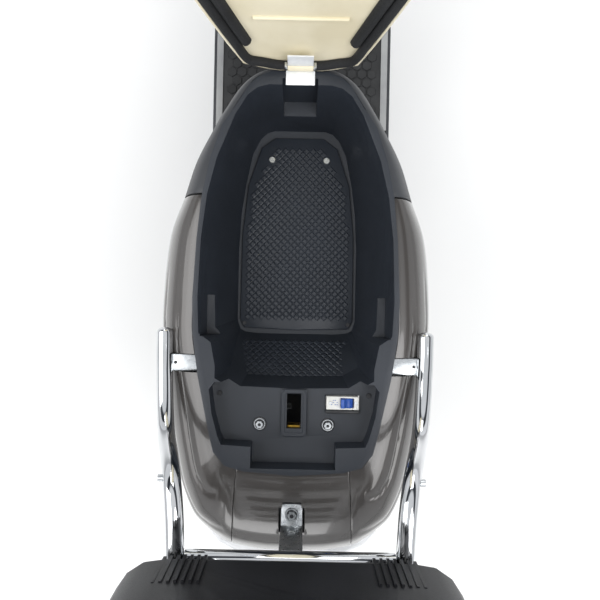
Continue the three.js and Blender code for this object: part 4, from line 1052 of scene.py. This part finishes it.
class SCOOTER_OT_wheels(Base, bpy.types.Operator):
    """Cast wheels, treaded tyres, hub motor, brake disc and fenders"""
    bl_idname = "scooter.wheels"
    bl_label = "Wheels"

    def execute(self, context):
        for word, centre, body in (("front", FRONT_AXLE, "front_wheel"), ("rear", REAR_AXLE, "rear_wheel")):
            refined(f"{word}_rim", "lacquered_alloy", 1.2, 26, 2)
            tyre = lathe(f"{word}_tyre_casing", TYRE_PROFILE, centre, (1, 0, 0), "tyre_rubber", body, 128)
            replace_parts(tyre, f"{word}_tyre")
            count = 54
            for row, offset, radius, lean in TREAD_ROWS:
                points, facings = [], []
                for k in range(count):
                    a = 2 * math.pi * (k + (0.5 if abs(offset) == 17 else 0)) / count
                    facing = Vector((math.sin(lean), math.cos(a) * math.cos(lean), math.sin(a) * math.cos(lean)))
                    points.append((offset, centre[1] + radius * math.cos(a), centre[2] + radius * math.sin(a)))
                    facings.append(facing)
                studs(f"{word}_tread_{row}", points, facings, 4, 7.4, 6.2, 2.6,
                      "tyre_rubber", body, twist=math.pi / 4, stretch=(1.05, 0.95, 1.0))
            stem = [(18, centre[1] + r * math.cos(0.6), centre[2] + r * math.sin(0.6)) for r in (116, 94)]
            wire(f"{word}_valve", stem, 3, "brass", body, 12)
            for side, tag in ((1, "right"), (-1, "left")):
                turns = [2 * math.pi * k / 96 for k in range(96)]
                ring = [(side * 38.4, centre[1] + 160 * math.cos(t), centre[2] + 160 * math.sin(t)) for t in turns]
                wire(f"{word}_sidewall_bead_{tag}", ring, 1.1, "tyre_rubber", body, 6, True)
        bolts, facings = [], []
        for k in range(10):
            a = 2 * math.pi * k / 10
            for side in (1, -1):
                bolts.append((side * 53, REAR_AXLE[1] + 76 * math.cos(a), REAR_AXLE[2] + 76 * math.sin(a)))
                facings.append((side, 0, 0))
        studs("hub_motor_screws", bolts, facings, 6, 4.2, 3.8, 4, "zinc_plate", "rear_wheel")
        refined("front_disc", "brushed_steel", 0.5)
        holes, facings = [], []
        for k in range(36):
            a = 2 * math.pi * k / 36
            r = 70 + 8 * (k % 3)
            for x, way in ((-44.2, -1), (-39.8, 1)):
                holes.append((x, FRONT_AXLE[1] + r * math.cos(a), FRONT_AXLE[2] + r * math.sin(a)))
                facings.append((way, 0, 0))
        studs("disc_holes", holes, facings, 16, 3.0, 3.0, 0.4, "black_abs", "front_wheel")
        refined("front_caliper", "black_abs", 1.5)

        def arch(centre_y, centre_z, radius, drop, from_deg, to_deg, half, start):
            def at(u, v):
                a = math.radians(mix(from_deg, to_deg, u))
                w = (v - 0.5) * 2
                r = radius - drop * max(0, abs(w) - start) / (1 - start)
                return (w * half, centre_y + r * math.cos(a), centre_z + r * math.sin(a))
            return at
        front = arch(*FRONT_AXLE[1:], 234, 16, 24, 165, 52, 0.6)
        rear = arch(REAR_AXLE[1], REAR_AXLE[2] + 10, 278, 22, 38, 168, 62, 0.72)
        for word, at, finish, rides in (
                ("front", front, "sprayed_enamel", "fork"), ("rear", rear, "black_abs", "chassis")):
            fender = skin(f"{word}_fender_shell", at, 72, 24, 3, -1, finish, rides)
            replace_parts(fender, f"{word}_fender")
        return {"FINISHED"}


def coil(name, foot, top, radius, turns, wire_mm, body):
    """A compression spring between two points."""
    foot, top = Vector(foot), Vector(top)
    axis = (top - foot).normalized()
    side = axis.orthogonal().normalized()
    other = axis.cross(side)
    steps = turns * 20
    points = []
    for k in range(steps + 1):
        a = 2 * math.pi * turns * k / steps
        points.append(tuple(foot.lerp(top, k / steps) + side * radius * math.cos(a) + other * radius * math.sin(a)))
    return wire(name, points, wire_mm, "chrome_plate", body, 10)


class SCOOTER_OT_running_gear(Base, bpy.types.Operator):
    """Frame, swingarm, dampers with springs, stands, battery and controller"""
    bl_idname = "scooter.running_gear"
    bl_label = "Running gear"

    def execute(self, context):
        sizes = context.scene.scooter_sizes
        for node, finish, edge in (
                ("frame", "powder_coat", 0.5), ("swingarm", "powder_coat", 1.6), ("center_stand", "powder_coat", 0.8),
                ("side_stand", "powder_coat", 0.8), ("battery_pack", "black_abs", 3.0),
                ("motor_controller", "lacquered_alloy", 1.5), ("fork_crown", "powder_coat", 1.2),
                ("fork_lowers", "black_abs", 1.5)):
            refined(node, finish, edge, 32)
        for word, side in (("left", -1), ("right", 1)):
            refined(f"shock_upper_{word}", "chrome_plate", 0.8, 32)
            refined(f"shock_lower_{word}", "black_abs", 0.8, 32)
            foot, top = [(side * SHOCK_X, mix(SHOCK_FOOT[0], SHOCK_HEAD[0], share),
                          mix(SHOCK_FOOT[1], SHOCK_HEAD[1], share)) for share in (0.15, 0.89)]
            spring = coil(f"damper_spring_{word}", foot, top, 19.5, sizes.spring_turns, sizes.spring_wire / MM,
                          f"shock_upper_{word}")
            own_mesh(spring)
        fins = [(x, -264, 336) for x in range(-60, 61, 12)]
        studs("controller_fins", fins, (0, 0, 1), 4, 2.2, 2.0, 108, "lacquered_alloy", "chassis",
              twist=math.pi / 4, stretch=(1, 3, 1))
        axle = [(s * 111, *REAR_AXLE[1:]) for s in (1, -1)]
        studs("rear_axle_nuts", axle, [(1, 0, 0), (-1, 0, 0)], 6, 13, 12.4, 10, "zinc_plate", "swingarm")
        front = [(s * 95, *FRONT_AXLE[1:]) for s in (1, -1)]
        studs("front_axle_nuts", front, [(1, 0, 0), (-1, 0, 0)], 6, 10, 9.6, 8, "zinc_plate", "fork")
        return {"FINISHED"}


class SCOOTER_OT_steering(Base, bpy.types.Operator):
    """Handlebar, grips, controls, levers, mirrors, cowl, display and headlight"""
    bl_idname = "scooter.steering"
    bl_label = "Steering"

    def execute(self, context):
        for node, finish, edge in (
                ("handlebar", "powder_coat", 0.0), ("control_left", "black_abs", 1.5),
                ("control_right", "black_abs", 1.5),
                ("brake_lever_left", "lacquered_alloy", 1.0), ("brake_lever_right", "lacquered_alloy", 1.0),
                ("ignition_barrel", "brushed_steel", 0.6)):
            refined(node, finish, edge, 32)
        inner, outer = Vector((226, 329, 1021)), Vector((345, 303, 1019))
        grips = (("left", -1, "grip_left", "steering"), ("right", 1, "throttle_grip", "throttle_grip"))
        for word, side, node, body in grips:
            axis = (outer - inner).normalized()
            length = (outer - inner).length
            profile = [(11.7, 0.05 * length), (19.5, 0.05 * length), (20, 0.06 * length),
                       (19.5, 0.09 * length), (15.6, 0.1 * length)]
            for k in range(22):
                along = mix(0.12, 0.98, k / 21) * length
                profile += [(15.8, along), (16.8, along + 1.2), (16.8, along + 2.6), (15.8, along + 3.6)]
            profile += [(16.6, 1.03 * length), (14, 1.04 * length), (11.7, 1.04 * length)]
            centre = (side * inner.x, inner.y, inner.z)
            way = (side * axis.x, axis.y, axis.z)
            grip = lathe(f"grip_sleeve_{word}", profile, centre, way, "grip_rubber", body, 48, 40)
            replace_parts(grip, node)
        # The cowl is an egg-shaped shell with the lamp let into its nose.
        rows, cols = 60, 96
        cowl_points = []
        for i in range(1, rows):
            a = math.pi * i / rows
            for j in range(cols):
                b = 2 * math.pi * j / cols
                sx = math.sin(a) * math.cos(b)
                sy = math.sin(a) * math.sin(b)
                x, y, z = 152 * sx, 384 + 95 * sy, 992 + 73 * math.cos(a)
                if y > 440 and math.hypot(x, z - 992) < 57:
                    y = 448
                cowl_points.append((x, y, z))
        faces = []
        for i in range(rows - 2):
            for j in range(cols):
                k = (j + 1) % cols
                faces.append((i * cols + j, (i + 1) * cols + j, (i + 1) * cols + k, i * cols + k))
        top = tuple(range(cols))
        bottom = tuple((rows - 2) * cols + j for j in reversed(range(cols)))
        shell = lay("handlebar_cowl_shell", [Vector(p) * MM for p in cowl_points], faces + [top, bottom],
                    "sprayed_enamel", "steering", 50)
        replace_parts(shell, "handlebar_cowl")
        lens = []
        for k in range(10):
            a = math.pi / 2 * k / 9
            lens.append((53 * math.cos(a), 13 * math.sin(a)))
        lens[-1] = (0.0, 13.0)
        lens += [(0.0, -8.0), (53.0, -8.0)]
        cover = lathe("headlight_cover", lens[::-1], HEADLAMP_CENTRE, (0, 1, 0), "headlamp_glass", "steering", 64)
        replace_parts(cover, "headlight_lens")
        bezel = [(52, 5), (59, 5), (61, 0), (60, -24), (52, -24)]
        lathe("headlight_bezel", bezel, HEADLAMP_CENTRE, (0, 1, 0), "chrome_plate", "steering", 64)
        box_piece("display_housing", (-58, 288, 996), (58, 304, 1046), "black_abs", "steering", 4)
        box_piece("display_screen", (-48, 285.4, 1002), (48, 289, 1040), "display_glass", "steering", 1.0)
        for side, word in ((1, "right"), (-1, "left")):
            stem = smooth_line([(side * 196, 345, 1042), (side * 196, 345, 1060), (side * 205, 348, 1092),
                                (side * 240, 350, 1135), (side * 276, 350, 1150)], 40)
            wire(f"mirror_stem_{word}", stem, 4.8, "black_abs", f"mirror_{word}", 14)
            shell = []
            for k in range(13):
                a = math.pi * k / 12
                shell.append((max(math.sin(a), 0.0), -math.cos(a)))
            verts, faces = [], []
            n = 48
            for r, along in shell:
                for j in range(n):
                    b = 2 * math.pi * j / n
                    y = 350 + 11 * along + (2.5 if along < -0.6 else 0)
                    x, z = side * MIRROR_X + 61 * r * math.cos(b), MIRROR_Z + 39 * r * math.sin(b)
                    verts.append(Vector((x, y, z)) * MM)
            for i in range(12):
                for j in range(n):
                    k = (j + 1) % n
                    faces.append((i * n + j, i * n + k, (i + 1) * n + k, (i + 1) * n + j))
            head = lay(f"mirror_head_{word}", verts, faces, "black_abs", f"mirror_{word}", 60)
            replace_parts(head, f"mirror_{word}")
            turns = [2 * math.pi * k / 64 for k in range(64)]
            rim = [(side * MIRROR_X + 50 * math.cos(t), 342.5, MIRROR_Z + 31 * math.sin(t)) for t in turns]
            wire(f"mirror_rim_{word}", rim, 2.2, "black_abs", f"mirror_{word}", 8, True)
            plate_points = [Vector((side * MIRROR_X, 341.6, MIRROR_Z)) * MM] + [Vector(p) * MM for p in rim]
            back = [p + Vector((0, 3 * MM, 0)) for p in plate_points]
            m = len(plate_points)
            plate_faces = [(0, k, k % 64 + 1) for k in range(1, 65)]
            plate_faces += [(m, m + k % 64 + 1, m + k) for k in range(1, 65)]
            plate_faces += [(k, m + k, m + k % 64 + 1, k % 64 + 1) for k in range(1, 65)]
            lay(f"mirror_glass_{word}", plate_points + back, plate_faces, "silvered_glass", f"mirror_{word}", 30)
        return {"FINISHED"}


class SCOOTER_OT_floor(Base, bpy.types.Operator):
    """Floor deck with a hexagon-patterned rubber mat and light side bands"""
    bl_idname = "scooter.floor"
    bl_label = "Floor"

    def execute(self, context):
        sizes = context.scene.scooter_sizes
        refined("floor_deck", "grained_abs", 3.0)
        refined("floor_mat", "mat_rubber", 1.5)
        pitch = sizes.mat_cell / MM
        cells = []
        row_gap = pitch * math.sqrt(3) / 2
        for j in range(int(315 / row_gap)):
            for i in range(-8, 9):
                x = (i + (j % 2) * 0.5) * pitch
                if abs(x) < 146:
                    cells.append((x, 12 + j * row_gap, 303.6))
        studs("mat_hexagons", cells, (0, 0, 1), 6, pitch * 0.53, pitch * 0.47, 1.6,
              "mat_rubber", "chassis", twist=math.pi / 6)
        for side, word in ((1, "right"), (-1, "left")):
            low, high = sorted((side * 158, side * 171))
            box_piece(f"mat_side_band_{word}", (low, 4, 303.2), (high, 326, 305.4),
                      "side_band_rubber", "chassis", 0.8)
            ribs = [(side * 177.6, -130 + 22 * k, 226) for k in range(21)]
            studs(f"deck_side_ribs_{word}", ribs, (0, 0, 1), 4, 1.8, 1.6, 60,
                  "grained_abs", "chassis", twist=math.pi / 4)
        for word, left, y in (("front", -174, 334.6), ("rear", -134, -153)):
            box_piece(f"deck_closure_{word}", (left, y, 217), (174, y + 3, 296), "black_abs", "chassis", 1.0)
        screws = [(s * 165, y, 298.6) for s in (1, -1) for y in (-100, -40)]
        studs("deck_screws", screws, (0, 0, 1), 16, 4, 3.4, 2, "zinc_plate", "chassis")
        return {"FINISHED"}


class SCOOTER_OT_lamps(Base, bpy.types.Operator):
    """Tail lamp, rear indicators and number plate holder"""
    bl_idname = "scooter.lamps"
    bl_label = "Tail lamps"

    def execute(self, context):
        outline = [(0, -733), (45, -732), (85, -727), (112, -713), (129, -694), (126, -665), (112, -640), (0, -640)]
        outline += [(-x, y) for x, y in outline[-2:0:-1]]
        rings = []
        for share, z in ((0.72, 548), (0.84, 553), (0.94, 563), (0.99, 574), (1.0, 582), (0.985, 587), (0.93, 590)):
            rings.append([(x * share, -640 + (y + 640) * share, z) for x, y in outline])
        lamp = rings_to_piece("tail_lamp_cover", rings, "clear_lamp_plastic", "chassis", 62)
        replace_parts(lamp, "tail_lamp")
        red = [(x, y + 0.6, 565) for x, y in ((-80, -722), (-43, -727.4), (0, -728.4), (43, -727.4), (80, -722))]
        wire("tail_lamp_strip", smooth_line(red, 40), 4.5, "red_lamp_plastic", "chassis", 12)
        for side, word in ((1, "right"), (-1, "left")):
            ambers = smooth_line([(side * 87, -720, 565), (side * 106, -709.5, 565), (side * 119, -695, 565)], 16)
            wire(f"indicator_rear_{word}", ambers, 5, "amber_lamp_plastic", "chassis", 12)
        refined("plate_holder", "black_abs", 1.5)
        box_piece("rear_reflector", (-22, -826.5, 345), (22, -823.5, 360), "red_lamp_plastic", "chassis", 0.8)
        return {"FINISHED"}


STEPS = (
    SCOOTER_OT_stage, SCOOTER_OT_bodywork, SCOOTER_OT_bin, SCOOTER_OT_seat, SCOOTER_OT_rails, SCOOTER_OT_case,
    SCOOTER_OT_wheels, SCOOTER_OT_running_gear, SCOOTER_OT_steering, SCOOTER_OT_floor, SCOOTER_OT_lamps,
)


class SCOOTER_PT_panel(bpy.types.Panel):
    """Sizes, colours and the steps that build the scooter"""
    bl_idname = "SCOOTER_PT_panel"
    bl_label = "Electric moped scooter"
    bl_space_type = "VIEW_3D"
    bl_region_type = "UI"
    bl_category = "Scooter"

    def draw(self, context):
        for group in (context.scene.scooter_sizes, context.scene.scooter_colours):
            for name in type(group).__annotations__:
                self.layout.prop(group, name)
        for step in STEPS:
            self.layout.operator(step.bl_idname)


CLASSES = (ScooterSizes, ScooterColours, *STEPS, SCOOTER_PT_panel)


def register():
    for made in CLASSES:
        bpy.utils.register_class(made)
    bpy.types.Scene.scooter_sizes = bpy.props.PointerProperty(type=ScooterSizes)
    bpy.types.Scene.scooter_colours = bpy.props.PointerProperty(type=ScooterColours)


def unregister():
    del bpy.types.Scene.scooter_colours
    del bpy.types.Scene.scooter_sizes
    for made in reversed(CLASSES):
        bpy.utils.unregister_class(made)


def main():
    register()
    for step in STEPS:
        family, name = step.bl_idname.split(".")
        getattr(getattr(bpy.ops, family), name)()


if __name__ == "__main__":
    main()
